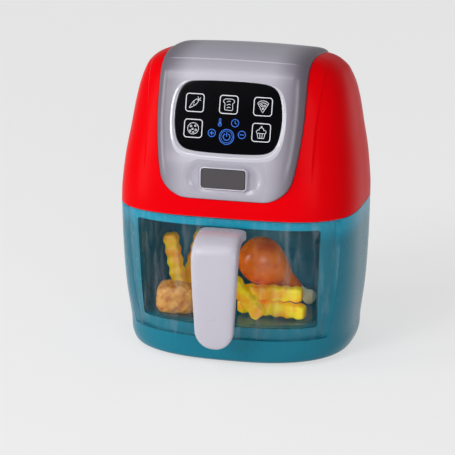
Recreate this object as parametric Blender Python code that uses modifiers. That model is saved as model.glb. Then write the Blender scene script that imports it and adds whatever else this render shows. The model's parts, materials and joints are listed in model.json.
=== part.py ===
# Toy air fryer with a press panel and a clear pull-out drawer of play food.
# Metres, +Z up. The front faces -Y and the drawer slides out along -Y.
# The origin is under the middle of the whole outline, handle included, on the surface the toy stands on.
# Every piece is made about the middle of the body; the root empty then carries it to the origin.

import math

import bmesh
import bpy
from mathutils import Matrix, Vector
from mathutils.bvhtree import BVHTree

# Driving sizes of the body
BODY_WIDTH = 0.160
BODY_DEPTH = 0.120
DOME_TOP = 0.2010
WAIST = 0.1000
PARTING_GAP = 0.0004
BASE_LIFT = 0.0010
HANDLE_REACH = 0.0270
CLEARANCE = 0.0003
OVERRUN = 0.0200
RING_POINTS = 40

HALF_WIDTH = BODY_WIDTH / 2
HALF_DEPTH = BODY_DEPTH / 2
LOWER_TOP = WAIST - PARTING_GAP / 2
UPPER_FOOT = WAIST + PARTING_GAP / 2
UPPER_RISE = DOME_TOP - UPPER_FOOT
BODY_Y = HANDLE_REACH / 2

# Walls
UPPER_WALL = 0.0022
LOWER_WALL = 0.0030
FRAME_SETBACK = 0.0056
FASCIA_WALL = 0.0026
PLATE_WALL = 0.0024
PLATE_POCKET = 0.0030
BAY_WALL = 0.0018
TRAY_WALL = 0.0020
DECK_THICKNESS = 0.0020

# Levels of the lower shell, bottom to top:
# height, half width, front reach and back reach as shares, and the roundness of the plan curve
LOWER_LEVEL_SHARES = [
    (0.000, 0.800, 0.858, 0.858, 2.60),
    (0.009, 0.875, 0.945, 0.945, 2.62),
    (0.032, 0.918, 0.997, 0.985, 2.65),
    (0.071, 0.938, 1.007, 0.995, 2.68),
    (0.176, 0.950, 1.009, 1.000, 2.70),
    (0.395, 0.978, 1.006, 1.000, 3.00),
    (0.698, 0.995, 1.002, 1.000, 3.30),
    (1.000, 1.000, 1.000, 1.000, 3.50),
]

# Levels of the upper shell, the same way, with the backward lean of each level as a last share
UPPER_LEVEL_SHARES = [
    (0.000, 1.000, 1.000, 1.000, 3.50, 0.00),
    (0.077, 0.999, 0.990, 1.000, 3.50, 0.00),
    (0.177, 0.990, 0.965, 0.993, 3.50, 0.00),
    (0.306, 0.973, 0.917, 0.980, 3.50, 0.00),
    (0.489, 0.936, 0.837, 0.950, 3.45, 0.01),
    (0.673, 0.900, 0.753, 0.910, 3.40, 0.03),
    (0.792, 0.868, 0.697, 0.873, 3.35, 0.06),
    (0.861, 0.840, 0.660, 0.833, 3.30, 0.08),
    (0.911, 0.812, 0.623, 0.793, 3.25, 0.09),
    (0.945, 0.778, 0.577, 0.743, 3.20, 0.10),
    (0.972, 0.730, 0.510, 0.677, 3.10, 0.10),
    (0.988, 0.668, 0.427, 0.593, 3.00, 0.10),
    (0.996, 0.550, 0.283, 0.450, 2.80, 0.10),
    (1.000, 0.300, 0.067, 0.267, 2.50, 0.10),
]

# Control fascia: side profile as shares of half the body depth and of the upper shell's rise
FASCIA_PROFILE_SHARES = [
    (-0.998, 0.0827),
    (-1.010, 0.1366),
    (-1.010, 0.1964),
    (-1.002, 0.2662),
    (-0.978, 0.3360),
    (-0.943, 0.4048),
    (-0.910, 0.4742),
    (-0.832, 0.6379),
    (-0.753, 0.8016),
    (-0.720, 0.8710),
    (-0.687, 0.9182),
    (-0.627, 0.9593),
    (-0.540, 0.9890),
    (-0.400, 1.0100),
    (-0.200, 1.0199),
    (0.000, 1.0179),
    (0.200, 1.0040),
    (0.400, 0.9801),
    (0.550, 0.9541),
    (0.667, 0.9256),
]
FASCIA_SIDE_SPACE = 0.0310
FASCIA_HALF_WIDTH = HALF_WIDTH - FASCIA_SIDE_SPACE
FASCIA_FOOT_TAPER = 0.0040
FASCIA_FOOT_HALF_WIDTH = FASCIA_HALF_WIDTH - FASCIA_FOOT_TAPER
FASCIA_FULL_WIDTH_SHARE = 0.5437
FASCIA_CORNER = 0.0150
FASCIA_ROUND = 0.0085
FASCIA_CROWN = 0.0015
FASCIA_SINK = 0.0003
FASCIA_SKIRT = 0.0030
FASCIA_PROUD = FASCIA_ROUND + FASCIA_CROWN
FASCIA_SQUEEZE = 1.09
FASCIA_EDGE_SHARES = [0.0, 0.06, 0.22, 0.48, 1.0]
FASCIA_ROWS = 18
FASCIA_COLUMNS = 6

# Push panel, in the plane of the fascia's flat front
PANEL_CENTRE_SHARE = 0.63788
PANEL_SIDE_SPACE = 0.0136
PANEL_SIDE_BOW = 0.0042
PANEL_HALF_WIDTH = FASCIA_HALF_WIDTH - PANEL_SIDE_SPACE
PANEL_CORNER_HALF_WIDTH = PANEL_HALF_WIDTH - PANEL_SIDE_BOW
PANEL_HALF_HEIGHT = 0.0228
PANEL_END_BOW = 0.0016
PANEL_CORNER_HALF_HEIGHT = PANEL_HALF_HEIGHT - PANEL_END_BOW
PANEL_CORNER = 0.0050
PANEL_CORNER_REACH = 0.00625
PANEL_SIDE_STEPS = 24
PANEL_CORNER_STEPS = 4
PANEL_RECESS = 0.0009
PANEL_FLANGE = 0.0012
PANEL_FLANGE_REACH = 0.0015
PANEL_TRAVEL = 0.0015
PANEL_CHAMFER_SIDE = 0.0030
PANEL_CHAMFER_FOOT = 0.0052
PANEL_CHAMFER_HEAD = 0.0010
PANEL_CHAMFER_DEPTH = 0.0019

# Display window in the lower part of the fascia
WINDOW_CENTRE_SHARE = 0.2609
WINDOW_TILT_DEG = 4.0
WINDOW_WIDTH = 0.0290
WINDOW_TALL = 0.0122
WINDOW_LENS = 0.0014
WINDOW_SUNK = 0.0005
WINDOW_RIM = 0.0012
WINDOW_PROUD = 0.0013
WINDOW_CORNER = 0.0008
DISH_HALF_WIDTH = 0.0255
DISH_HALF_HEIGHT = 0.0108
DISH_DEPTH = 0.0015
DISPLAY_DEPTH = 0.0040
DISPLAY_MARGIN = 0.0006

# Electronics behind the panel
BOARD_SIDE_SPACE = 0.0050
BOARD_WIDTH = 2 * (FASCIA_HALF_WIDTH - BOARD_SIDE_SPACE)
BOARD_TALL = 0.0380
BOARD_THICKNESS = 0.0016
BOARD_DEPTH = 0.0102
BOARD_POST_RADIUS = 0.0028
BOARD_POST_INSET = 0.0035
BOARD_POST_X = BOARD_WIDTH / 2 - BOARD_POST_INSET
BOARD_POST_Y = 0.0140
BOARD_SCREW_RADIUS = 0.0010
BOARD_SCREW_HEAD = 0.0022
BOARD_SCREW_LENGTH = 0.0050
SWITCH_SIZE = 0.0062
SWITCH_NUB_RADIUS = 0.0017
SWITCH_NUB = 0.0006
SPRING_RADIUS = 0.0030
SPRING_WIRE = 0.0003
SPRING_TURNS = 4
SPRING_SIDE_SPACE = 0.0114
SPRING_X = PANEL_HALF_WIDTH - SPRING_SIDE_SPACE

# Drawer front, drawer box and the opening it slides through
PLATE_WRAP = 0.0200
PLATE_END = HALF_DEPTH - PLATE_WRAP
PLATE_FOOT = 0.0184
PLATE_CORNER = 0.0050
OPENING_FOOT = 0.0260
OPENING_HEAD_SPACE = 0.0064
OPENING_HEAD = LOWER_TOP - OPENING_HEAD_SPACE
OPENING_MIDDLE = (OPENING_FOOT + OPENING_HEAD) / 2
OPENING_SIDE_SPACE = 0.0184
OPENING_HALF_TOP = HALF_WIDTH - OPENING_SIDE_SPACE
OPENING_TAPER = 0.0026
OPENING_HALF_FOOT = OPENING_HALF_TOP - OPENING_TAPER
OPENING_CORNER = 0.0020
BAY_BACK_SPACE = 0.0188
BAY_BACK = HALF_DEPTH - BAY_BACK_SPACE
TRAY_SIDE_GAP = 0.0007
TRAY_FLOOR = 0.0270
TRAY_HEAD_SPACE = 0.0054
TRAY_TOP = OPENING_HEAD - TRAY_HEAD_SPACE
TRAY_BACK_GAP = 0.0017
TRAY_BACK = BAY_BACK - TRAY_BACK_GAP
TRAY_CORNER = 0.0070
TRAY_CORNER_STEPS = 4
RUNNER_SHARE = 0.5
RUNNER_WIDTH = 0.0024

# Handle: outer and inner side profiles as shares of its reach and of its height, from the plate outwards
HANDLE_HEAD_SPACE = 0.0060
HANDLE_TOP = WAIST - HANDLE_HEAD_SPACE
HANDLE_FOOT = 0.0186
HANDLE_STATION_SHARES = [
    (0.000, 0.996, 0.000, 0.887),
    (0.150, 1.000, 0.080, 0.886),
    (0.444, 0.995, 0.240, 0.876),
    (0.640, 0.976, 0.420, 0.848),
    (0.810, 0.936, 0.560, 0.800),
    (0.925, 0.875, 0.635, 0.735),
    (0.985, 0.790, 0.672, 0.655),
    (1.000, 0.680, 0.685, 0.560),
    (1.000, 0.400, 0.700, 0.370),
    (0.985, 0.172, 0.712, 0.172),
]
HANDLE_WIDTH_SHARES = [1.000, 0.985, 0.955, 0.965, 0.985, 1.000, 0.990, 0.970, 0.900, 0.840]
HANDLE_HALF_WIDTH = 0.0153
HANDLE_END_SHARES = (0.950, 0.745)
HANDLE_END_STEPS = 6
HANDLE_TIP_SHARE = 0.35
HANDLE_ROUNDNESS = 5.0
HANDLE_RING_POINTS = 16
HANDLE_SCREW_X = 0.0080
HANDLE_SCREW_DROP = 0.0040
HANDLE_SCREW_Z = HANDLE_TOP - HANDLE_SCREW_DROP
HANDLE_SCREW_RADIUS = 0.0014
HANDLE_SCREW_HOLE_RADIUS = HANDLE_SCREW_RADIUS + CLEARANCE
HANDLE_SCREW_HEAD = 0.0028
HANDLE_SCREW_HEAD_DEPTH = 0.0016
HANDLE_SCREW_LENGTH = 0.0090

# Rear posts with the long housing screws, and the side bosses that carry the deck plate
DECK_BASE = OPENING_HEAD + BAY_WALL + CLEARANCE
DECK_TOP = DECK_BASE + DECK_THICKNESS
POST_TOP = DECK_BASE - CLEARANCE
POST_SIDE_SPACE = 0.0440
POST_X = HALF_WIDTH - POST_SIDE_SPACE
POST_BACK_SPACE = 0.0125
POST_Y = HALF_DEPTH - POST_BACK_SPACE
POST_RADIUS = 0.0040
POST_BORE = 0.0031
POST_WEB = 0.0080
SCREW_RADIUS = 0.0014
SCREW_HEAD = 0.0027
SCREW_HEAD_DEPTH = 0.0018
SCREW_HOLE_GAP = 0.0003
SCREW_HOLE_RADIUS = SCREW_RADIUS + SCREW_HOLE_GAP
BOSS_HEIGHT = 0.0140
BOSS_GRIP = 0.0100
BOSS_RIB = 0.0024
BOSS_RIB_SINK = 0.0015
DECK_BOSS_SIDE_SPACE = 0.0095
DECK_BOSS_X = HALF_WIDTH - DECK_BOSS_SIDE_SPACE
DECK_BOSS_HEIGHT = 0.0140
DECK_SCREW_LENGTH = 0.0080
TAB_GAP = 0.0012
TAB_X = 0.0200
TAB_WIDTH = 0.0120
TAB_THICKNESS = 0.0018
TAB_HEIGHT = 0.0030
SUPPORT_SHARE = 0.5
SUPPORT_THICKNESS = 0.0030
SUPPORT_END_SPACE = 0.0120
FOOT_SIDE_SPACE = 0.0360
FOOT_X = HALF_WIDTH - FOOT_SIDE_SPACE
FOOT_END_SPACE = 0.0270
FOOT_Y = HALF_DEPTH - FOOT_END_SPACE
FOOT_RADIUS = 0.0060
FOOT_SUNK = 0.0008

# Battery compartment in the back wall
CELL_LENGTH = 0.0505
CELL_RADIUS = 0.00725
CELL_NUB_RADIUS = 0.0027
CELL_NUB = 0.0012
CELL_PITCH = 0.0160
CELL_BACK_SPACE = 0.0140
CELL_Y = HALF_DEPTH - CELL_BACK_SPACE
CELL_RISE = 0.0180
CELL_BASE_Z = WAIST + CELL_RISE
BATTERY_WALL = 0.0014
BATTERY_END_SPACE = 0.0040
BATTERY_DEPTH = 0.0230
BATTERY_FRONT = HALF_DEPTH - BATTERY_DEPTH
DOOR_WALL = 0.0018
DOOR_MARGIN = 0.0024
DOOR_TAB = 0.0070
DOOR_GRIP_WIDTH = 0.0180
DOOR_GRIP_DEPTH = 0.0008
DOOR_GRIP_SETBACK = 0.0012
DOOR_GRIP_TALL = 0.0016
DOOR_GRIP_COUNT = 3
DOOR_SCREW_RADIUS = 0.0011
DOOR_SCREW_HEAD = 0.0024
DOOR_SCREW_HEAD_DEPTH = 0.0012
DOOR_SCREW_LENGTH = 0.0070
CONTACT_THICKNESS = 0.0005
CONTACT_SPRING_RADIUS = 0.0032
CONTACT_SPRING_TIP = 0.0020
CONTACT_WIRE = 0.0003
CONTACT_TURNS = 4

# Speaker behind the holes in the back wall
SPEAKER_RISE = 0.0675
SPEAKER_Z = WAIST + SPEAKER_RISE
SPEAKER_BACK_SPACE = 0.0170
SPEAKER_FACE = HALF_DEPTH - SPEAKER_BACK_SPACE
SPEAKER_RADIUS = 0.0150
SPEAKER_RIM = 0.0014
SPEAKER_DEPTH = 0.0080
SPEAKER_CONE = 0.0115
SPEAKER_CONE_SLOPE = 0.0035
MAGNET_RADIUS = 0.0078
MAGNET_DEPTH = 0.0050
SPEAKER_RING_WALL = 0.0018
SOUND_HOLE = 0.0012
SOUND_PITCH = 0.0052
SOUND_RINGS = 2

# Play food
FRY_LENGTH = 0.0460
FRY_THICKNESS = 0.0100
FRY_WAVE = 0.0008
FRY_WAVES = 6
FRY_CHAMFER_SHARE = 0.70
DRUM_LENGTH = 0.0620
DRUM_RADIUS = 0.0158
DRUM_STEPS = 16
DRUM_PROFILE_SHARES = [
    (0.000, 0.000),
    (0.250, 0.010),
    (0.320, 0.055),
    (0.270, 0.100),
    (0.200, 0.140),
    (0.215, 0.330),
    (0.420, 0.420),
    (0.720, 0.520),
    (0.930, 0.640),
    (1.000, 0.760),
    (0.900, 0.880),
    (0.620, 0.965),
    (0.300, 0.995),
    (0.000, 1.000),
]
NUGGET_LENGTH = 0.0300
NUGGET_WIDTH = 0.0190
NUGGET_TALL = 0.0210
NUGGET_CAGE_SHARES = [1.00, 0.88, 0.94, 1.06, 0.90, 1.04, 1.08, 0.86]

# Where each piece lies: its middle as shares of the tray's half width, depth and height,
# then the turn about Z and the lean of each crinkle fry
FRY_PLACE_SHARES = [
    (-0.764, 0.374, 0.405),
    (-0.604, 0.501, 0.405),
    (-0.444, 0.353, 0.400),
    (0.142, 0.075, 0.360),
    (0.480, 0.206, 0.092),
    (0.426, 0.217, 0.2645),
]
FRY_TURNS_DEG = [0.0, 0.0, 0.0, 0.0, -6.0, 4.0]
FRY_LEANS_DEG = [100.0, 74.0, 88.0, 130.0, 0.0, 0.0]
NUGGET_PLACE_SHARES = (-0.640, 0.170, 0.150)
DRUM_PLACE_SHARES = (0.480, 0.4185, 0.388)
DRUM_TURN_DEG = 30.0
DRUM_LEAN_DEG = 40.0

# The inside of the tray that the play food is sized for: half width, depth and height
FOOD_TRAY_SIZE = (0.0563, 0.0951, 0.0590)
SHARP_ANGLE_DEG = 40.0

BLUE_TEAL = (0.012, 0.27, 0.36)
DARK_TEAL = (0.008, 0.10, 0.13)
RED = (0.78, 0.008, 0.012)
GREY = (0.44, 0.42, 0.47)
PALE_GREY = (0.56, 0.54, 0.62)
BLACK = (0.006, 0.006, 0.008)
SMOKE = (0.06, 0.055, 0.06)
CLEAR = (0.85, 0.92, 0.95)
STEEL = (0.60, 0.60, 0.62)
COPPER = (0.75, 0.45, 0.20)
BOARD_GREEN = (0.02, 0.18, 0.06)
PAPER_BLACK = (0.03, 0.03, 0.03)
YELLOW = (0.85, 0.50, 0.03)
BROWN = (0.42, 0.11, 0.01)
RUBBER = (0.05, 0.05, 0.055)


def clear_scene():
    for item in list(bpy.data.objects):
        bpy.data.objects.remove(item, do_unlink=True)


def make_collection(name):
    collection = bpy.data.collections.new(name)
    bpy.context.scene.collection.children.link(collection)
    return collection


clear_scene()
PARTS = make_collection("toy_air_fryer")
CUTTERS = make_collection("cutters")


def make_empty(name, parent=None, place=Matrix.Identity(4)):
    empty = bpy.data.objects.new(name, None)
    PARTS.objects.link(empty)
    empty.parent = parent
    empty.matrix_local = place
    return empty


def finish(name, color, roughness, metallic=0.0):
    material = bpy.data.materials.get(name)
    if material:
        return material
    material = bpy.data.materials.new(name)
    material.use_nodes = True
    shader = material.node_tree.nodes["Principled BSDF"]
    shader.inputs["Base Color"].default_value = (*color, 1.0)
    shader.inputs["Roughness"].default_value = roughness
    shader.inputs["Metallic"].default_value = metallic
    material.diffuse_color = (*color, 1.0)
    return material


def add_object(name, mesh, parent, collection, place=Matrix.Identity(4)):
    obj = bpy.data.objects.new(name, mesh)
    collection.objects.link(obj)
    obj.parent = parent
    obj.matrix_local = place
    return obj


def add_part(name, mesh, material, parent, place=Matrix.Identity(4)):
    obj = add_object(name, mesh, parent, PARTS, place)
    obj.data.materials.append(material)
    obj.data.shade_smooth()
    obj.data.set_sharp_from_angle(angle=math.radians(SHARP_ANGLE_DEG))
    return obj


def add_cutter(name, mesh, parent, place=Matrix.Identity(4)):
    obj = add_object(name, mesh, parent, CUTTERS, place)
    obj.hide_render = True
    obj.display_type = "WIRE"
    return obj


def boolean(obj, tool, operation):
    modifier = obj.modifiers.new(operation.lower() + "_" + tool.name, "BOOLEAN")
    modifier.operation = operation
    modifier.solver = "EXACT"
    modifier.object = tool


def cut(obj, *tools):
    for tool in tools:
        boolean(obj, tool, "DIFFERENCE")


def join(obj, *tools):
    for tool in tools:
        boolean(obj, tool, "UNION")


def keep(obj, *tools):
    for tool in tools:
        boolean(obj, tool, "INTERSECT")


def to_mesh(name, bm):
    bmesh.ops.recalc_face_normals(bm, faces=bm.faces)
    mesh = bpy.data.meshes.new(name)
    bm.to_mesh(mesh)
    bm.free()
    return mesh


def loft_mesh(name, rings, cap_first=True, cap_last=True):
    """Skin over closed rings that all have the same number of points."""
    bm = bmesh.new()
    loops = [[bm.verts.new(point) for point in ring] for ring in rings]
    for low, high in zip(loops, loops[1:]):
        count = len(low)
        for index in range(count):
            after = (index + 1) % count
            bm.faces.new((low[index], low[after], high[after], high[index]))
    if cap_first:
        bm.faces.new(loops[0][::-1])
    if cap_last:
        bm.faces.new(loops[-1])
    return to_mesh(name, bm)


def box_mesh(name, low, high):
    bm = bmesh.new()
    low, high = Vector(low), Vector(high)
    size = high - low
    place = Matrix.Translation((low + high) / 2) @ Matrix.Diagonal((*size, 1.0))
    bmesh.ops.create_cube(bm, size=1.0, matrix=place)
    return to_mesh(name, bm)


def prism_mesh(name, outline, low, high, top_outline=None):
    """A flat outline in X and Y, raised from low to high along Z."""
    top_outline = top_outline or outline
    rings = [[(x, y, low) for x, y in outline], [(x, y, high) for x, y in top_outline]]
    return loft_mesh(name, rings)


def cylinder_mesh(name, radius, low, high, sides=16, top_radius=None):
    bm = bmesh.new()
    top_radius = radius if top_radius is None else top_radius
    place = Matrix.Translation((0, 0, (low + high) / 2))
    bmesh.ops.create_cone(
        bm, cap_ends=True, segments=sides, radius1=radius, radius2=top_radius,
        depth=high - low, matrix=place
    )
    return to_mesh(name, bm)


def turned(name, profile, material, parent, place, steps=16):
    """A turned piece: the profile runs down its outer side, from the top of the axis to the bottom."""
    bm = bmesh.new()
    verts = [bm.verts.new((radius, 0, height)) for radius, height in profile]
    for first, second in zip(verts, verts[1:]):
        bm.edges.new((first, second))
    mesh = bpy.data.meshes.new(name)
    bm.to_mesh(mesh)
    bm.free()
    obj = add_part(name, mesh, material, parent, place)
    modifier = obj.modifiers.new("turned", "SCREW")
    modifier.steps = steps
    modifier.render_steps = steps
    modifier.use_merge_vertices = True
    modifier.merge_threshold = 0.0001
    modifier.use_smooth_shade = True
    return obj


def signed_power(value, power):
    return math.copysign(abs(value) ** power, value)


def oval_point(angle, half_width, half_height, roundness):
    """A point on a rounded rectangle-like curve; a roundness of 2 is an ellipse."""
    x = half_width * signed_power(math.cos(angle), 2 / roundness)
    y = half_height * signed_power(math.sin(angle), 2 / roundness)
    return x, y


def blend_rows(rows, position):
    """The row of a table at a position in its first column, between its neighbours."""
    if position <= rows[0][0]:
        return rows[0][1:]
    for low, high in zip(rows, rows[1:]):
        if position <= high[0]:
            share = (position - low[0]) / (high[0] - low[0])
            return [a + (b - a) * share for a, b in zip(low[1:], high[1:])]
    return rows[-1][1:]


def lower_section(height, side_inset=0.0, front_inset=0.0, back_inset=0.0):
    share = (height - BASE_LIFT) / (LOWER_TOP - BASE_LIFT)
    width, front, back, roundness = blend_rows(LOWER_LEVEL_SHARES, share)
    half_width = width * HALF_WIDTH - side_inset
    front_y = front * HALF_DEPTH - front_inset
    back_y = back * HALF_DEPTH - back_inset
    return half_width, (front_y + back_y) / 2, (back_y - front_y) / 2, roundness


def section_ring(section, height, lean=0.0, points=RING_POINTS):
    half_width, half_depth, middle, roundness = section
    ring = []
    for index in range(points):
        x, y = oval_point(2 * math.pi * index / points, half_width, half_depth, roundness)
        ring.append((x, middle + y, height - lean * (y + half_depth)))
    return ring


def lower_heights(foot, head):
    """The levels of the lower shell between two heights, ends included."""
    levels = [BASE_LIFT + row[0] * (LOWER_TOP - BASE_LIFT) for row in LOWER_LEVEL_SHARES]
    inner = [level for level in levels if foot + CLEARANCE < level < head - CLEARANCE]
    return [foot, *inner, head]


def lower_loft(name, foot, head, side_inset=0.0, front_inset=0.0, back_inset=0.0):
    rings = [
        section_ring(lower_section(height, side_inset, front_inset, back_inset), height)
        for height in lower_heights(foot, head)
    ]
    return loft_mesh(name, rings)


def upper_rings(inset=0.0):
    rings = []
    for level, width, front, back, roundness, lean in UPPER_LEVEL_SHARES:
        height = UPPER_FOOT + level * UPPER_RISE - inset * level
        front_y = front * HALF_DEPTH - inset
        back_y = back * HALF_DEPTH - inset
        section = (width * HALF_WIDTH - inset, (front_y + back_y) / 2, (back_y - front_y) / 2, roundness)
        rings.append(section_ring(section, height, lean))
    return rings


def upper_solid(name, inset):
    rings = upper_rings(inset)
    foot = [(x, y, z - OVERRUN) for x, y, z in rings[0]]
    return loft_mesh(name, [foot] + rings)


def curve_points(controls, steps):
    """A smooth curve through the control points, with its middle stretches cut in equal steps."""
    points = []
    ends = [controls[0]] + controls + [controls[-1]]
    for index in range(1, len(ends) - 2):
        p0, p1, p2, p3 = (Vector(ends[index + offset]) for offset in (-1, 0, 1, 2))
        for step in range(steps):
            t = step / steps
            points.append(
                0.5 * (2 * p1 + (p2 - p0) * t + (2 * p0 - 5 * p1 + 4 * p2 - p3) * t**2
                       + (3 * p1 - p0 - 3 * p2 + p3) * t**3)
            )
    points.append(Vector(controls[-1]))
    return points


class Fascia:
    """The side profile of the fascia, measured along its own length."""

    def __init__(self):
        controls = [(y * HALF_DEPTH, UPPER_FOOT + z * UPPER_RISE) for y, z in FASCIA_PROFILE_SHARES]
        self.points = curve_points(controls, 4)
        self.lengths = [0.0]
        for first, second in zip(self.points, self.points[1:]):
            self.lengths.append(self.lengths[-1] + (second - first).length)
        self.length = self.lengths[-1]
        bm = bmesh.new()
        bm.from_mesh(upper_solid("dome", 0.0))
        self.dome = BVHTree.FromBMesh(bm)
        bm.free()

    def at(self, distance):
        """The point and the outward normal, both in Y and Z, at a distance along the profile."""
        distance = min(max(distance, 0.0), self.length)
        index = 0
        while index < len(self.lengths) - 2 and self.lengths[index + 1] < distance:
            index += 1
        span = self.lengths[index + 1] - self.lengths[index]
        share = (distance - self.lengths[index]) / span
        first, second = self.points[index], self.points[index + 1]
        before = self.points[max(index - 1, 0)]
        after = self.points[min(index + 2, len(self.points) - 1)]
        tangent = (second - before).normalized().lerp((after - first).normalized(), share).normalized()
        return first.lerp(second, share), Vector((-tangent.y, tangent.x))

    def half_width(self, distance, grow=0.0):
        """Half the width of the outline, with the taper at its foot and the round corners of both ends."""
        height = self.at(distance)[0].y
        foot = self.points[0].y
        full = UPPER_FOOT + FASCIA_FULL_WIDTH_SHARE * UPPER_RISE
        share = min(max((height - foot) / (full - foot), 0.0), 1.0)
        share = share * (2 - share)
        width = FASCIA_FOOT_HALF_WIDTH + (FASCIA_HALF_WIDTH - FASCIA_FOOT_HALF_WIDTH) * share
        corner = FASCIA_CORNER + grow
        width += grow
        end = min(distance + grow, self.length + grow - distance)
        if end < corner:
            width += math.sqrt(max(corner**2 - (corner - end) ** 2, 0.0)) - corner
        return width

    def edge_distance(self, x, distance):
        """How far inside its rounded outline a point of the fascia lies."""
        height_width = self.half_width(distance)
        end = min(distance, self.length - distance)
        if end < FASCIA_CORNER:
            centre = height_width - math.sqrt(FASCIA_CORNER**2 - (FASCIA_CORNER - end) ** 2)
            if abs(x) > centre:
                reach = math.hypot(abs(x) - centre, FASCIA_CORNER - end)
                return max(FASCIA_CORNER - reach, 0.0)
            return end
        return max(min(height_width - abs(x), end), 0.0)

    def dome_depth(self, x, distance):
        """How far the dome lies under the crest of the fascia."""
        place, normal = self.at(distance)
        out = Vector((0, normal.x, normal.y))
        start = Vector((x, place.x, place.y)) + out * OVERRUN
        hit = self.dome.ray_cast(start, -out)
        return hit[3] - OVERRUN

    def depth(self, x, distance):
        """How far the surface lies under the crest: its crown, then the round edge that meets the dome."""
        crown = FASCIA_CROWN * (x / FASCIA_HALF_WIDTH) ** 2
        inside = 1 - min(self.edge_distance(x, distance) / FASCIA_ROUND, 1)
        fall = 1 - math.sqrt(1 - inside**2)
        if fall == 0:
            return crown
        return crown + (self.dome_depth(x, distance) + FASCIA_SINK - crown) * fall

    def point(self, x, distance, depth):
        place, normal = self.at(distance)
        place = place - normal * depth
        return Vector((x, place.x, place.y))

    def row_distances(self):
        ends = [share * FASCIA_ROUND for share in FASCIA_EDGE_SHARES]
        inner = self.length - 2 * FASCIA_ROUND
        middle = [FASCIA_ROUND + inner * index / FASCIA_ROWS for index in range(1, FASCIA_ROWS)]
        return ends + middle + [self.length - end for end in reversed(ends)]


FASCIA = Fascia()


def profile_frame(distance, tilt=None, lift=0.0):
    """A frame on the fascia: X across, Y up along it and Z out of it."""
    place, normal = FASCIA.at(distance)
    if tilt is None:
        tilt = math.atan2(normal.y, -normal.x)
    place = place + normal * lift
    frame = Matrix.Translation((0, place.x, place.y)) @ Matrix.Rotation(math.pi / 2 - tilt, 4, "X")
    return frame


def profile_distance(height):
    """The distance along the front of the profile at which it reaches a height."""
    for index, point in enumerate(FASCIA.points):
        if point.y >= height:
            before = FASCIA.points[index - 1]
            share = (height - before.y) / (point.y - before.y)
            return FASCIA.lengths[index - 1] + share * (FASCIA.lengths[index] - FASCIA.lengths[index - 1])
    return FASCIA.length


def fascia_surface(name):
    """The open outer surface of the fascia, with its skirt."""
    bm = bmesh.new()
    edge = [share * FASCIA_ROUND for share in FASCIA_EDGE_SHARES]
    grid = []
    distances = FASCIA.row_distances()
    for distance in distances:
        half = FASCIA.half_width(distance)
        scale = min(1.0, half / FASCIA_HALF_WIDTH * FASCIA_SQUEEZE)
        steps = [half - value * scale for value in edge]
        inner = steps[-1]
        positions = [-value for value in steps]
        positions += [inner * (2 * index / FASCIA_COLUMNS - 1) for index in range(1, FASCIA_COLUMNS)]
        positions += list(reversed(steps))
        row = []
        for x in positions:
            row.append(bm.verts.new(FASCIA.point(x, distance, FASCIA.depth(x, distance))))
        grid.append(row)
    for low, high in zip(grid, grid[1:]):
        for index in range(len(low) - 1):
            bm.faces.new((low[index], low[index + 1], high[index + 1], high[index]))
    border = [(vert, distances[0]) for vert in grid[0]]
    border += [(row[-1], distance) for row, distance in zip(grid[1:], distances[1:])]
    border += [(vert, distances[-1]) for vert in reversed(grid[-1][:-1])]
    border += [(row[0], distance) for row, distance in reversed(list(zip(grid, distances))[1:-1])]
    skirt = []
    for vert, distance in border:
        normal = FASCIA.at(distance)[1]
        skirt.append(bm.verts.new(vert.co - Vector((0, normal.x, normal.y)) * FASCIA_SKIRT))
    for index, (vert, _) in enumerate(border):
        after = (index + 1) % len(border)
        bm.faces.new((border[after][0], vert, skirt[index], skirt[after]))
    return to_mesh(name, bm)


def fascia_band(name, grow):
    """A thick band over the fascia's outline, which opens the dome for it."""
    distances = [-grow] + FASCIA.row_distances() + [FASCIA.length + grow]
    rings = []
    for distance in distances:
        half = FASCIA.half_width(distance, grow)
        beyond = distance - min(max(distance, 0.0), FASCIA.length)
        place = FASCIA.point(0, distance, 0) + tangent_at(distance) * beyond
        normal = FASCIA.at(distance)[1]
        out = Vector((0, normal.x, normal.y))
        inward = FASCIA.dome_depth(half, distance) + 2 * UPPER_WALL
        across = Vector((half, 0, 0))
        high = place + out * FASCIA_PROUD
        low = place - out * inward
        rings.append([high - across, high + across, low + across, low - across])
    return loft_mesh(name, rings)


def tangent_at(distance):
    normal = FASCIA.at(distance)[1]
    return Vector((0, normal.y, -normal.x))


def arc_side(start, end, bulge, steps):
    """Points from start towards end on an arc that stands off its chord by bulge, without the end."""
    start, end = Vector(start), Vector(end)
    chord = end - start
    out = Vector((chord.y, -chord.x)).normalized()
    return [
        start + chord * (index / steps) + out * bulge * (4 * (index / steps) * (1 - index / steps))
        for index in range(steps)
    ]


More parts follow.
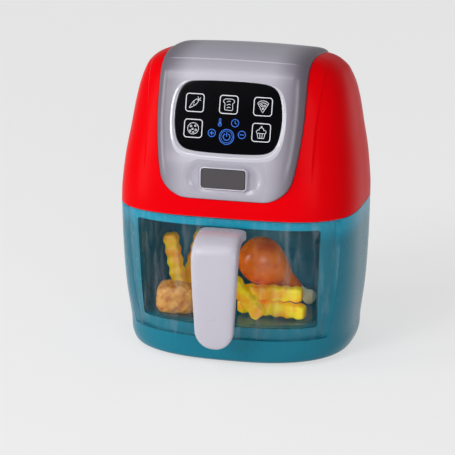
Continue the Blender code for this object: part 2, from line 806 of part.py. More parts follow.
def barrel_outline(grow=0.0):
    """The rounded barrel shape of the push panel: bowed sides, slightly bowed top and bottom."""
    wide = PANEL_CORNER_HALF_WIDTH + grow
    tall = PANEL_CORNER_HALF_HEIGHT + grow
    side_bow = PANEL_HALF_WIDTH - PANEL_CORNER_HALF_WIDTH
    end_bow = PANEL_HALF_HEIGHT - PANEL_CORNER_HALF_HEIGHT
    corners = [(-wide, -tall), (wide, -tall), (wide, tall), (-wide, tall)]
    bows = [end_bow, side_bow, end_bow, side_bow]
    loop = []
    steps = PANEL_SIDE_STEPS
    for index, corner in enumerate(corners):
        loop += arc_side(corner, corners[(index + 1) % 4], bows[index], steps)
    rounded = []
    for index in range(4):
        middle = loop[index * steps]
        side = loop[index * steps:(index + 1) * steps]
        last_side = loop[((index + 3) % 4) * steps:((index + 3) % 4) * steps + steps]
        before = next(point for point in reversed(last_side) if (point - middle).length > PANEL_CORNER)
        after = next(point for point in side if (point - middle).length > PANEL_CORNER)
        for step in range(PANEL_CORNER_STEPS + 1):
            t = step / PANEL_CORNER_STEPS
            rounded.append(before * (1 - t) ** 2 + middle * 2 * t * (1 - t) + after * t**2)
        next_corner = loop[((index + 1) % 4) * steps]
        for point in side[::PANEL_CORNER_STEPS]:
            reach = min((point - middle).length, (point - next_corner).length)
            if reach > PANEL_CORNER_REACH:
                rounded.append(point)
    return [(point.x, point.y) for point in rounded]


def spread_outline(outline, spread):
    """The panel outline, let out by its chamfer on each side times a spread."""
    side = 1 + PANEL_CHAMFER_SIDE * spread / PANEL_HALF_WIDTH
    foot = 1 + PANEL_CHAMFER_FOOT * spread / PANEL_HALF_HEIGHT
    head = 1 + PANEL_CHAMFER_HEAD * spread / PANEL_HALF_HEIGHT
    return [(x * side, y * (head if y > 0 else foot)) for x, y in outline]


def rounded_rectangle(half_width, half_height, corner, steps=3):
    outline = []
    for index, (sx, sy) in enumerate([(1, 1), (-1, 1), (-1, -1), (1, -1)]):
        for step in range(steps + 1):
            angle = math.pi / 2 * (index + step / steps)
            outline.append((
                sx * (half_width - corner) + corner * math.cos(angle),
                sy * (half_height - corner) + corner * math.sin(angle),
            ))
    return outline


def coil_points(radius, tip_radius, length, turns, points_per_turn=9):
    count = turns * points_per_turn
    points = []
    for index in range(count + 1):
        share = index / count
        angle = 2 * math.pi * turns * share
        reach = radius + (tip_radius - radius) * share
        points.append((reach * math.cos(angle), reach * math.sin(angle), length * share))
    return points


def wire_part(name, points, wire, material, parent, place):
    """A coil of round wire: a curve with a bevel and filled caps."""
    curve = bpy.data.curves.new(name, "CURVE")
    curve.dimensions = "3D"
    curve.bevel_depth = wire
    curve.bevel_resolution = 1
    curve.use_fill_caps = True
    spline = curve.splines.new("POLY")
    spline.points.add(len(points) - 1)
    for target, point in zip(spline.points, points):
        target.co = (*point, 1.0)
    obj = add_object(name, curve, parent, PARTS, place)
    curve.materials.append(material)
    return obj


def on_axis(direction, location=(0, 0, 0)):
    """A frame whose Z runs along a direction."""
    return Matrix.Translation(location) @ Vector(direction).to_track_quat("Z", "Y").to_matrix().to_4x4()


ROOT = make_empty("air_fryer", None, Matrix.Translation((0, BODY_Y, 0)))
HOUSING = make_empty("housing", ROOT)
PANEL_DISTANCE = profile_distance(UPPER_FOOT + PANEL_CENTRE_SHARE * UPPER_RISE)
PANEL_FRAME = profile_frame(PANEL_DISTANCE)
PANEL = make_empty("button_panel", ROOT, PANEL_FRAME)
DRAWER_FRAME = Matrix.Translation((0, -HALF_DEPTH, (PLATE_FOOT + WAIST) / 2))
DRAWER_BACK = DRAWER_FRAME.inverted()
DRAWER = make_empty("drawer", ROOT, DRAWER_FRAME)

TEAL_PLASTIC = finish("teal_plastic", BLUE_TEAL, 0.32)
DARK_PLASTIC = finish("dark_teal_plastic", DARK_TEAL, 0.45)
RED_PLASTIC = finish("red_plastic", RED, 0.18)
GREY_PLASTIC = finish("grey_plastic", GREY, 0.35)
PALE_PLASTIC = finish("pale_grey_plastic", PALE_GREY, 0.35)
BLACK_GLOSS = finish("black_panel", BLACK, 0.12)
SMOKED_LENS = finish("smoked_lens", SMOKE, 0.10)
CLEAR_PLASTIC = finish("clear_plastic", CLEAR, 0.05)
ZINC = finish("zinc_screw", STEEL, 0.30, 1.0)
SPRING_STEEL = finish("spring_steel", STEEL, 0.25, 1.0)
BOARD = finish("circuit_board", BOARD_GREEN, 0.40)
BLACK_PLASTIC = finish("black_plastic", PAPER_BLACK, 0.50)
CELL_WRAP = finish("cell_wrap", COPPER, 0.30)
FRY_YELLOW = finish("fry_yellow", YELLOW, 0.40)
MEAT_BROWN = finish("meat_brown", BROWN, 0.25)
FOOT_RUBBER = finish("foot_rubber", RUBBER, 0.80)


def post_places():
    return [(side * POST_X, POST_Y) for side in (-1, 1)]


def deck_boss_places():
    return [(side * DECK_BOSS_X, 0.0) for side in (-1, 1)]


def make_lower_housing():
    mesh = lower_loft("lower_housing", BASE_LIFT, LOWER_TOP)
    housing = add_part("lower_housing", mesh, TEAL_PLASTIC, HOUSING)

    cavity_floor = BASE_LIFT + LOWER_WALL
    cavity = lower_loft("cavity", cavity_floor, LOWER_TOP + OVERRUN, LOWER_WALL, FRAME_SETBACK, LOWER_WALL)
    cut(housing, add_cutter("lower_cavity", cavity, HOUSING))

    # The step that the clear drawer front sits in
    low = (-BODY_WIDTH, -BODY_DEPTH, PLATE_FOOT)
    high = (BODY_WIDTH, -PLATE_END, LOWER_TOP + OVERRUN)
    pocket = add_cutter("plate_pocket", box_mesh("plate_pocket", low, high), HOUSING)
    core_top = LOWER_TOP + 2 * OVERRUN
    core = lower_loft("pocket_core", BASE_LIFT, core_top, PLATE_POCKET, PLATE_POCKET, PLATE_POCKET)
    cut(pocket, add_cutter("pocket_core", core, HOUSING))
    cut(housing, pocket)

    # The opening narrows a little towards its foot
    foot = rounded_rectangle(OPENING_HALF_TOP, (OPENING_HEAD - OPENING_FOOT) / 2, OPENING_CORNER)
    outline = []
    for x, y in foot:
        share = (y * 2 / (OPENING_HEAD - OPENING_FOOT) + 1) / 2
        width = OPENING_HALF_FOOT + (OPENING_HALF_TOP - OPENING_HALF_FOOT) * share
        outline.append((x * width / OPENING_HALF_TOP, y))
    mesh = prism_mesh("opening", outline, PLATE_END - PLATE_CORNER, HALF_DEPTH + OVERRUN)
    place = Matrix.Translation((0, 0, OPENING_MIDDLE)) @ Matrix.Rotation(math.pi / 2, 4, "X")
    cut(housing, add_cutter("bay_opening", mesh, HOUSING, place))

    ribs_top = OPENING_FOOT - BAY_WALL - CLEARANCE
    for sx in (-1, 1):
        x = sx * SUPPORT_SHARE * HALF_WIDTH
        end = HALF_DEPTH - SUPPORT_END_SPACE
        low = (x - SUPPORT_THICKNESS / 2, -end, cavity_floor - LOWER_WALL / 2)
        high = (x + SUPPORT_THICKNESS / 2, end, ribs_top)
        rib = box_mesh("bay_support", low, high)
        join(housing, add_cutter("bay_support", rib, HOUSING))

    for x, y in post_places():
        place = Matrix.Translation((x, y, 0))
        post = cylinder_mesh("post", POST_RADIUS, cavity_floor - LOWER_WALL / 2, POST_TOP)
        join(housing, add_cutter("post", post, HOUSING, place))
        bore = cylinder_mesh("post_bore", POST_BORE, -OVERRUN, POST_TOP - POST_WEB)
        cut(housing, add_cutter("post_bore", bore, HOUSING, place))
        hole = cylinder_mesh("post_hole", SCREW_HOLE_RADIUS, -OVERRUN, POST_TOP + OVERRUN, 12)
        cut(housing, add_cutter("post_hole", hole, HOUSING, place))

    for x, y in deck_boss_places():
        place = Matrix.Translation((x, y, 0))
        boss = cylinder_mesh("deck_boss", POST_RADIUS, POST_TOP - DECK_BOSS_HEIGHT, POST_TOP)
        boss = add_cutter("deck_boss", boss, HOUSING, place)
        side = math.copysign(HALF_WIDTH - LOWER_WALL / 2 - abs(x), x)
        low = (min(0, side), -BOSS_RIB / 2, POST_TOP - DECK_BOSS_HEIGHT)
        high = (max(0, side), BOSS_RIB / 2, POST_TOP - BOSS_RIB)
        join(boss, add_cutter("deck_boss_rib", box_mesh("deck_boss_rib", low, high), HOUSING, place))
        join(housing, boss)
        hole = cylinder_mesh(
            "deck_boss_hole", SCREW_HOLE_RADIUS, POST_TOP - DECK_SCREW_LENGTH, POST_TOP + OVERRUN / 4, 12
        )
        cut(housing, add_cutter("deck_boss_hole", hole, HOUSING, place))

    for sx in (-1, 1):
        for sy in (-1, 1):
            recess = cylinder_mesh("foot_recess", FOOT_RADIUS + CLEARANCE, -OVERRUN, BASE_LIFT + FOOT_SUNK)
            place = Matrix.Translation((sx * FOOT_X, sy * FOOT_Y, 0))
            cut(housing, add_cutter("foot_recess", recess, HOUSING, place))
    return housing


def make_feet():
    number = 0
    for sx in (-1, 1):
        for sy in (-1, 1):
            number += 1
            top = BASE_LIFT + FOOT_SUNK - CLEARANCE
            mesh = cylinder_mesh("foot", FOOT_RADIUS, 0.0, top)
            place = Matrix.Translation((sx * FOOT_X, sy * FOOT_Y, 0))
            add_part(f"rubber_foot_{number}", mesh, FOOT_RUBBER, HOUSING, place)


def make_drawer_bay():
    outer_half = OPENING_HALF_TOP + BAY_WALL + CLEARANCE
    inner_half = OPENING_HALF_TOP + CLEARANCE
    low = (-outer_half, -BODY_DEPTH, OPENING_FOOT - BAY_WALL)
    high = (outer_half, BAY_BACK + BAY_WALL, OPENING_HEAD + BAY_WALL)
    bay = add_part("drawer_bay", box_mesh("drawer_bay", low, high), DARK_PLASTIC, HOUSING)
    low = (-inner_half, -BODY_DEPTH - OVERRUN, OPENING_FOOT)
    high = (inner_half, BAY_BACK, OPENING_HEAD)
    hollow = add_cutter("bay_hollow", box_mesh("bay_hollow", low, high), HOUSING)
    side = LOWER_WALL + CLEARANCE
    front = FRAME_SETBACK + CLEARANCE

    # At the back corners the wall follows the inside of the tub, and so does the hollow
    inner = side + BAY_WALL
    corners = lower_loft("bay_corners", BASE_LIFT + LOWER_WALL, LOWER_TOP + OVERRUN, inner, inner, inner)
    corners = add_cutter("bay_corners", corners, HOUSING)
    low = (-BODY_WIDTH, -BODY_DEPTH - OVERRUN, BASE_LIFT)
    high = (BODY_WIDTH, 0, LOWER_TOP + OVERRUN)
    join(corners, add_cutter("bay_mouth", box_mesh("bay_mouth", low, high), HOUSING))
    keep(hollow, corners)
    cut(bay, hollow)
    trim = lower_loft("bay_trim", BASE_LIFT + LOWER_WALL, LOWER_TOP + OVERRUN, side, front, side)
    keep(bay, add_cutter("bay_trim", trim, HOUSING))


def make_deck_plate():
    side = LOWER_WALL + CLEARANCE
    front = FRAME_SETBACK + CLEARANCE
    mesh = lower_loft("deck_plate", DECK_BASE, DECK_TOP, side, front, side)
    deck = add_part("deck_plate", mesh, BLACK_PLASTIC, HOUSING)
    for x, y in post_places() + deck_boss_places():
        hole = cylinder_mesh("deck_hole", SCREW_HOLE_RADIUS, DECK_BASE - OVERRUN, DECK_TOP + OVERRUN, 12)
        cut(deck, add_cutter("deck_hole", hole, HOUSING, Matrix.Translation((x, y, 0))))
    for low, high in tab_limits(CLEARANCE):
        cut(deck, add_cutter("tab_notch", box_mesh("tab_notch", low, high), HOUSING))


def tab_limits(gap):
    """The two tabs behind the front frame that keep the upper housing in place, with a gap all round."""
    front = -HALF_DEPTH + FRAME_SETBACK + TAB_GAP
    limits = []
    for side in (-1, 1):
        x = side * TAB_X
        low = (x - TAB_WIDTH / 2 - gap, front - gap, DECK_BASE - gap)
        high = (x + TAB_WIDTH / 2 + gap, front + TAB_THICKNESS + gap, UPPER_FOOT + TAB_HEIGHT)
        limits.append((low, high))
    return limits


def make_upper_housing():
    mesh = loft_mesh("upper_housing", upper_rings(), cap_first=False)
    housing = add_part("upper_housing", mesh, RED_PLASTIC, HOUSING)
    shell = housing.modifiers.new("wall", "SOLIDIFY")
    shell.thickness = UPPER_WALL
    shell.offset = -1.0
    shell.use_even_offset = True

    band = fascia_band("fascia_opening", CLEARANCE)
    cut(housing, add_cutter("fascia_opening", band, HOUSING))

    boss_foot = DECK_TOP + CLEARANCE
    boss_top = UPPER_FOOT + BOSS_HEIGHT
    for x, y in post_places():
        place = Matrix.Translation((x, y, 0))
        boss = cylinder_mesh("boss", POST_RADIUS, boss_foot, boss_top)
        boss = add_cutter("boss", boss, HOUSING, place)
        low = (-BOSS_RIB / 2, 0, UPPER_FOOT + BOSS_RIB / 2)
        high = (BOSS_RIB / 2, HALF_DEPTH - BOSS_RIB_SINK - y, UPPER_FOOT + BOSS_HEIGHT / 2)
        join(boss, add_cutter("boss_rib", box_mesh("boss_rib", low, high), HOUSING, place))
        join(housing, boss)
        hole = cylinder_mesh("boss_hole", SCREW_HOLE_RADIUS, -OVERRUN, boss_foot + BOSS_GRIP, 12)
        cut(housing, add_cutter("boss_hole", hole, HOUSING, place))

    for low, high in tab_limits(0.0):
        tab = add_cutter("front_tab", box_mesh("front_tab", low, high), HOUSING)
        low = (low[0], -HALF_DEPTH + UPPER_WALL / 2, UPPER_FOOT + CLEARANCE)
        join(tab, add_cutter("front_tab_web", box_mesh("front_tab_web", low, high), HOUSING))
        join(housing, tab)

    # Round wall that the speaker seats against
    seat = upper_solid("speaker_seat_trim", UPPER_WALL / 2)
    ring_radius = SPEAKER_RADIUS + SPEAKER_RING_WALL / 2
    outer = cylinder_mesh("speaker_seat", ring_radius, SPEAKER_FACE, HALF_DEPTH, 20)
    frame = on_axis((0, 1, 0), (0, 0, SPEAKER_Z))
    seat_ring = add_cutter("speaker_seat", outer, HOUSING, frame)
    inner = cylinder_mesh(
        "speaker_seat_bore", SPEAKER_RADIUS - SPEAKER_RING_WALL / 2, SPEAKER_FACE - OVERRUN, BODY_DEPTH, 20
    )
    cut(seat_ring, add_cutter("speaker_seat_bore", inner, HOUSING, frame))
    keep(seat_ring, add_cutter("speaker_seat_trim", seat, HOUSING))
    join(housing, seat_ring)

    for x, z in sound_hole_places():
        hole = cylinder_mesh("sound_hole", SOUND_HOLE, SPEAKER_FACE, BODY_DEPTH, 8)
        cut(housing, add_cutter("sound_hole", hole, HOUSING, on_axis((0, 1, 0), (x, 0, SPEAKER_Z + z))))

    low, high = door_limits(0.0)
    cut(housing, add_cutter("door_opening", box_mesh("door_opening", low, high), HOUSING))
    return housing


def sound_hole_places():
    places = [(0.0, 0.0)]
    for ring in range(1, SOUND_RINGS + 1):
        count = 6 * ring
        for index in range(count):
            angle = 2 * math.pi * index / count
            places.append((ring * SOUND_PITCH * math.cos(angle), ring * SOUND_PITCH * math.sin(angle)))
    return places


def make_fascia():
    fascia = add_part("control_fascia", fascia_surface("control_fascia"), GREY_PLASTIC, HOUSING)
    shell = fascia.modifiers.new("wall", "SOLIDIFY")
    shell.thickness = FASCIA_WALL
    shell.offset = -1.0
    shell.use_even_offset = True

    # Push panel opening with its bevelled surround: narrow at its head and wide at its foot
    rise = OVERRUN / 4
    spread = 1 + rise / PANEL_CHAMFER_DEPTH
    hole = barrel_outline(CLEARANCE)
    rings = [
        [(x, y, -OVERRUN / 2) for x, y in hole],
        [(x, y, -PANEL_CHAMFER_DEPTH) for x, y in hole],
        [(x, y, rise) for x, y in spread_outline(hole, spread)],
    ]
    cut(fascia, add_cutter("panel_hole", loft_mesh("panel_hole", rings), HOUSING, PANEL_FRAME))

    # Scooped dish with the raised window pad in it
    bm = bmesh.new()
    bmesh.ops.create_uvsphere(bm, u_segments=24, v_segments=12, radius=1.0)
    mesh = to_mesh("dish", bm)
    scale = Matrix.Diagonal((DISH_HALF_WIDTH, DISH_HALF_HEIGHT, DISH_DEPTH, 1.0))
    mesh.transform(scale)
    base = profile_frame(window_distance(), math.radians(WINDOW_TILT_DEG))
    cut(fascia, add_cutter("dish", mesh, HOUSING, base))
    window = window_frame()
    outer_x = WINDOW_WIDTH / 2 + WINDOW_RIM
    outer_y = WINDOW_TALL / 2 + WINDOW_RIM
    foot = rounded_rectangle(outer_x + WINDOW_RIM, outer_y + WINDOW_RIM, WINDOW_CORNER + WINDOW_RIM)
    top = rounded_rectangle(outer_x, outer_y, WINDOW_CORNER + WINDOW_RIM)
    pad = prism_mesh("window_pad", foot, -FASCIA_WALL - WINDOW_PROUD, 0.0, top)
    join(fascia, add_cutter("window_pad", pad, HOUSING, window))
    opening = rounded_rectangle(WINDOW_WIDTH / 2 + CLEARANCE, WINDOW_TALL / 2 + CLEARANCE, WINDOW_CORNER)
    mesh = prism_mesh("window_hole", opening, -OVERRUN / 2, OVERRUN)
    cut(fascia, add_cutter("window_hole", mesh, HOUSING, window))

    # Posts for the circuit board
    for sx in (-1, 1):
        for sy in (-1, 1):
            place = PANEL_FRAME @ Matrix.Translation((sx * BOARD_POST_X, sy * BOARD_POST_Y, 0))
            post = cylinder_mesh("board_post", BOARD_POST_RADIUS, -BOARD_DEPTH + CLEARANCE, -FASCIA_WALL, 12)
            join(fascia, add_cutter("board_post", post, HOUSING, place))
            hole = cylinder_mesh(
                "board_post_hole", BOARD_SCREW_RADIUS + CLEARANCE, -BOARD_DEPTH - OVERRUN / 4,
                BOARD_SCREW_LENGTH - BOARD_DEPTH, 8
            )
            cut(fascia, add_cutter("board_post_hole", hole, HOUSING, place))


def window_distance():
    return profile_distance(UPPER_FOOT + WINDOW_CENTRE_SHARE * UPPER_RISE)


def window_frame():
    return profile_frame(window_distance(), math.radians(WINDOW_TILT_DEG), WINDOW_PROUD)


def make_window():
    frame = window_frame()
    outline = rounded_rectangle(WINDOW_WIDTH / 2, WINDOW_TALL / 2, WINDOW_CORNER)
    mesh = prism_mesh("display_window", outline, -WINDOW_SUNK - WINDOW_LENS, -WINDOW_SUNK)
    add_part("display_window", mesh, SMOKED_LENS, HOUSING, frame)
    back = -WINDOW_SUNK - WINDOW_LENS - CLEARANCE
    low = (DISPLAY_MARGIN - WINDOW_WIDTH / 2, DISPLAY_MARGIN - WINDOW_TALL / 2, back - DISPLAY_DEPTH)
    high = (WINDOW_WIDTH / 2 - DISPLAY_MARGIN, WINDOW_TALL / 2 - DISPLAY_MARGIN, back)
    add_part("display_module", box_mesh("display_module", low, high), BLACK_PLASTIC, HOUSING, frame)


def make_push_panel():
    front = -PANEL_RECESS
    flange_front = -FASCIA_WALL - FASCIA_CROWN / 2 - CLEARANCE
    mesh = prism_mesh("push_panel", barrel_outline(), flange_front - PANEL_FLANGE / 2, front)
    panel = add_part("push_panel", mesh, BLACK_GLOSS, PANEL)
    flange = barrel_outline(PANEL_FLANGE_REACH)
    mesh = prism_mesh("panel_flange", flange, flange_front - PANEL_FLANGE, flange_front)
    join(panel, add_cutter("panel_flange", mesh, PANEL))
    return flange_front - PANEL_FLANGE


def make_electronics(panel_back):
    low = (-BOARD_WIDTH / 2, -BOARD_TALL / 2, -BOARD_DEPTH - BOARD_THICKNESS)
    high = (BOARD_WIDTH / 2, BOARD_TALL / 2, -BOARD_DEPTH)
    board = add_part("circuit_board", box_mesh("circuit_board", low, high), BOARD, HOUSING, PANEL_FRAME)
    for number, side in enumerate((-1, 1), 1):
        place = PANEL_FRAME @ Matrix.Translation((side * BOARD_POST_X, side * BOARD_POST_Y, 0))
        hole = cylinder_mesh(
            "board_hole", BOARD_SCREW_RADIUS + CLEARANCE, -BOARD_DEPTH - OVERRUN, -BOARD_DEPTH + OVERRUN, 8
        )
        cut(board, add_cutter("board_hole", hole, HOUSING, place))
        head = -BOARD_DEPTH - BOARD_THICKNESS - CLEARANCE
        tip = BOARD_SCREW_LENGTH - BOARD_DEPTH - CLEARANCE
        profile = [
            (0, tip),
            (BOARD_SCREW_RADIUS, tip - BOARD_SCREW_RADIUS),
            (BOARD_SCREW_RADIUS, head),
            (BOARD_SCREW_HEAD, head),
            (BOARD_SCREW_HEAD, head - BOARD_SCREW_RADIUS),
            (0, head - BOARD_SCREW_RADIUS - CLEARANCE),
        ]
        turned(f"board_screw_{number}", profile, ZINC, HOUSING, place, 10)

    nub_top = panel_back - PANEL_TRAVEL - CLEARANCE
    body_top = nub_top - SWITCH_NUB
    low = (-SWITCH_SIZE / 2, -SWITCH_SIZE / 2, -BOARD_DEPTH + CLEARANCE)
    high = (SWITCH_SIZE / 2, SWITCH_SIZE / 2, body_top)
    switch = add_part("tact_switch", box_mesh("tact_switch", low, high), BLACK_PLASTIC, HOUSING, PANEL_FRAME)
    nub = cylinder_mesh("switch_nub", SWITCH_NUB_RADIUS, body_top - SWITCH_NUB, nub_top, 12)
    join(switch, add_cutter("switch_nub", nub, HOUSING, PANEL_FRAME))

    foot = -BOARD_DEPTH + CLEARANCE + SPRING_WIRE
    length = panel_back - CLEARANCE - SPRING_WIRE - foot
    for name, side in (("panel_spring_left", -1), ("panel_spring_right", 1)):
        place = PANEL_FRAME @ Matrix.Translation((side * SPRING_X, 0, foot))
        points = coil_points(SPRING_RADIUS, SPRING_RADIUS, length, SPRING_TURNS)
        wire_part(name, points, SPRING_WIRE, SPRING_STEEL, HOUSING, place)


def housing_screw_profile():
    head_top = POST_TOP - POST_WEB - CLEARANCE
    tip = DECK_TOP + BOSS_GRIP - CLEARANCE
    return [
        (0, tip),
        (SCREW_RADIUS, tip - SCREW_RADIUS),
        (SCREW_RADIUS, head_top),
        (SCREW_HEAD, head_top),
        (SCREW_HEAD, head_top - SCREW_HEAD_DEPTH / 2),
        (SCREW_HEAD - SCREW_HEAD_DEPTH / 2, head_top - SCREW_HEAD_DEPTH),
        (0, head_top - SCREW_HEAD_DEPTH),
    ]


def make_housing_screws():
    for number, (x, y) in enumerate(post_places(), 1):
        place = Matrix.Translation((x, y, 0))
        turned(f"housing_screw_{number}", housing_screw_profile(), ZINC, HOUSING, place, 12)
    seat = DECK_TOP + CLEARANCE
    tip = POST_TOP - DECK_SCREW_LENGTH + CLEARANCE
    profile = [
        (0, seat + SCREW_HEAD_DEPTH),
        (SCREW_HEAD - SCREW_HEAD_DEPTH / 2, seat + SCREW_HEAD_DEPTH),
        (SCREW_HEAD, seat + SCREW_HEAD_DEPTH / 2),
        (SCREW_HEAD, seat),
        (SCREW_RADIUS, seat),
        (SCREW_RADIUS, tip + SCREW_RADIUS),
        (0, tip),
    ]
    for number, (x, y) in enumerate(deck_boss_places(), 1):
        turned(f"deck_screw_{number}", profile, ZINC, HOUSING, Matrix.Translation((x, y, 0)), 12)


def battery_box_limits():
    half = CELL_LENGTH / 2 + BATTERY_END_SPACE
    foot = CELL_BASE_Z - CELL_RADIUS - CLEARANCE
    head = CELL_BASE_Z + CELL_PITCH + CELL_RADIUS + CLEARANCE
    return half, foot, head


def door_limits(gap):
    half, foot, head = battery_box_limits()
    half = half + BATTERY_WALL - gap
    low = (-half, SPEAKER_FACE, foot - DOOR_MARGIN + gap)
    high = (half, BODY_DEPTH, head + DOOR_TAB - gap)
    return low, high


def make_battery_compartment():
    half, foot, head = battery_box_limits()
    low = (-half - BATTERY_WALL, BATTERY_FRONT, foot - BATTERY_WALL)
    high = (half + BATTERY_WALL, BODY_DEPTH, head + DOOR_TAB + DOOR_MARGIN)
    battery_box = add_part("battery_box", box_mesh("battery_box", low, high), BLACK_PLASTIC, HOUSING)
    low = (-half, BATTERY_FRONT + BATTERY_WALL, foot)
    high = (half, BODY_DEPTH + OVERRUN, head)
    cut(battery_box, add_cutter("cell_space", box_mesh("cell_space", low, high), HOUSING))
    trim = upper_solid("battery_box_trim", UPPER_WALL + CLEARANCE)
    keep(battery_box, add_cutter("battery_box_trim", trim, HOUSING))

    screw_z = head + (DOOR_TAB + DOOR_MARGIN) / 2
    frame = on_axis((0, 1, 0), (0, 0, screw_z))
    face = HALF_DEPTH - UPPER_WALL
    hole_radius = DOOR_SCREW_RADIUS + CLEARANCE
    hole = cylinder_mesh("door_screw_hole", hole_radius, face - DOOR_SCREW_LENGTH, BODY_DEPTH, 10)
    hole = add_cutter("door_screw_hole", hole, HOUSING, frame)
    cut(battery_box, hole)

    outer = upper_solid("battery_door", 0.0)
    door = add_part("battery_door", outer, RED_PLASTIC, HOUSING)
    inner = upper_solid("door_inner", DOOR_WALL)
    cut(door, add_cutter("door_inner", inner, HOUSING))
    low, high = door_limits(CLEARANCE)
    keep(door, add_cutter("door_outline", box_mesh("door_outline", low, high), HOUSING))
    cut(door, hole)
    for index in range(DOOR_GRIP_COUNT):
        z = foot + DOOR_MARGIN + 2 * DOOR_GRIP_TALL * index
        low = (-DOOR_GRIP_WIDTH / 2, HALF_DEPTH - DOOR_GRIP_SETBACK - DOOR_GRIP_DEPTH, z)
        high = (DOOR_GRIP_WIDTH / 2, BODY_DEPTH, z + DOOR_GRIP_TALL)
        cut(door, add_cutter("door_grip", box_mesh("door_grip", low, high), HOUSING))

    surface = upper_back(screw_z)
    head_foot = surface + CLEARANCE
    profile = [
        (0, head_foot + DOOR_SCREW_HEAD_DEPTH),
        (DOOR_SCREW_HEAD - DOOR_SCREW_HEAD_DEPTH / 2, head_foot + DOOR_SCREW_HEAD_DEPTH),
        (DOOR_SCREW_HEAD, head_foot + DOOR_SCREW_HEAD_DEPTH / 2),
        (DOOR_SCREW_HEAD, head_foot),
        (DOOR_SCREW_RADIUS, head_foot),
        (DOOR_SCREW_RADIUS, face - DOOR_SCREW_LENGTH + DOOR_SCREW_RADIUS + CLEARANCE),
        (0, face - DOOR_SCREW_LENGTH + CLEARANCE),
    ]
    turned("battery_door_screw", profile, ZINC, HOUSING, frame, 12)


def upper_back(height):
    """The Y of the upper shell's back wall on its middle line."""
    rows = []
    for level, _, front, back, _, lean in UPPER_LEVEL_SHARES:
        z = UPPER_FOOT + level * UPPER_RISE
        rows.append((z - lean * (front + back) * HALF_DEPTH, back * HALF_DEPTH))
    return blend_rows(rows, height)[0]


def make_cells():
    half, foot, head = battery_box_limits()
    for number in (1, 2):
        side = 1 if number == 1 else -1
        z = CELL_BASE_Z + CELL_PITCH * (number - 1)
        body = CELL_LENGTH - CELL_NUB
        profile = [
            (0, CELL_LENGTH / 2),
            (CELL_NUB_RADIUS, CELL_LENGTH / 2),
            (CELL_NUB_RADIUS, CELL_LENGTH / 2 - CELL_NUB),
            (CELL_RADIUS - CELL_NUB / 2, CELL_LENGTH / 2 - CELL_NUB),
            (CELL_RADIUS, CELL_LENGTH / 2 - 2 * CELL_NUB),
            (CELL_RADIUS, CELL_LENGTH / 2 - body + CELL_NUB / 2),
            (CELL_RADIUS - CELL_NUB / 2, CELL_LENGTH / 2 - body - CELL_NUB),
            (0, CELL_LENGTH / 2 - body - CELL_NUB),
        ]
        turned(f"battery_{number}", profile, CELL_WRAP, HOUSING, on_axis((side, 0, 0), (0, CELL_Y, z)), 16)

    # One plate joins the two cells at one end, and each cell has a spring at its flat end
    plate_half = CELL_RADIUS
    for name, side in (("contact_plate_left", -1), ("contact_plate_right", 1)):
        wall = side * (half - CLEARANCE)
        inner = side * (half - CLEARANCE - CONTACT_THICKNESS)
        low = (min(wall, inner), CELL_Y - plate_half / 2, foot + CLEARANCE)
        high = (max(wall, inner), CELL_Y + plate_half / 2, head - CLEARANCE)
        add_part(name, box_mesh(name, low, high), SPRING_STEEL, HOUSING)
    start = half - 2 * CLEARANCE - CONTACT_THICKNESS - CONTACT_WIRE
    length = start - CELL_LENGTH / 2 - CLEARANCE - CONTACT_WIRE
    for number in (1, 2):
        side = -1 if number == 1 else 1
        z = CELL_BASE_Z + CELL_PITCH * (number - 1)
        points = coil_points(CONTACT_SPRING_RADIUS, CONTACT_SPRING_TIP, length, CONTACT_TURNS, 8)
        place = on_axis((-side, 0, 0), (side * start, CELL_Y, z))
        wire_part(f"contact_spring_{number}", points, CONTACT_WIRE, SPRING_STEEL, HOUSING, place)


def make_speaker():
    face = SPEAKER_FACE - CLEARANCE
    frame = on_axis((0, 1, 0), (0, 0, SPEAKER_Z))
    back = face - SPEAKER_DEPTH
    profile = [
        (0, back + SPEAKER_RIM),
        (MAGNET_RADIUS - SPEAKER_RIM / 2, back + SPEAKER_RIM),
        (SPEAKER_CONE - SPEAKER_RIM / 2, face - SPEAKER_RIM),
        (SPEAKER_CONE, face),
        (SPEAKER_RADIUS, face),
        (SPEAKER_RADIUS, face - SPEAKER_RIM),
        (SPEAKER_CONE + SPEAKER_RIM, face - 2 * SPEAKER_RIM),
        (MAGNET_RADIUS, back),
        (0, back),
    ]
    turned("speaker_frame", profile, ZINC, HOUSING, frame, 20)
    rim = SPEAKER_CONE - SPEAKER_RIM / 2 - CLEARANCE
    top = face - CLEARANCE
    profile = [
        (0, top - SPEAKER_CONE_SLOPE / 2),
        (rim / 3, top - SPEAKER_CONE_SLOPE),
        (rim - CLEARANCE, top),
        (rim, top - CLEARANCE),
        (rim / 3, top - SPEAKER_CONE_SLOPE - SPEAKER_RIM / 2),
        (0, top - SPEAKER_CONE_SLOPE / 2 - SPEAKER_RIM / 2),
    ]
    turned("speaker_cone", profile, BLACK_PLASTIC, HOUSING, frame, 20)
    seat = back - CLEARANCE
    mesh = cylinder_mesh("speaker_magnet", MAGNET_RADIUS, seat - MAGNET_DEPTH, seat, 20)
    add_part("speaker_magnet", mesh, ZINC, HOUSING, frame)


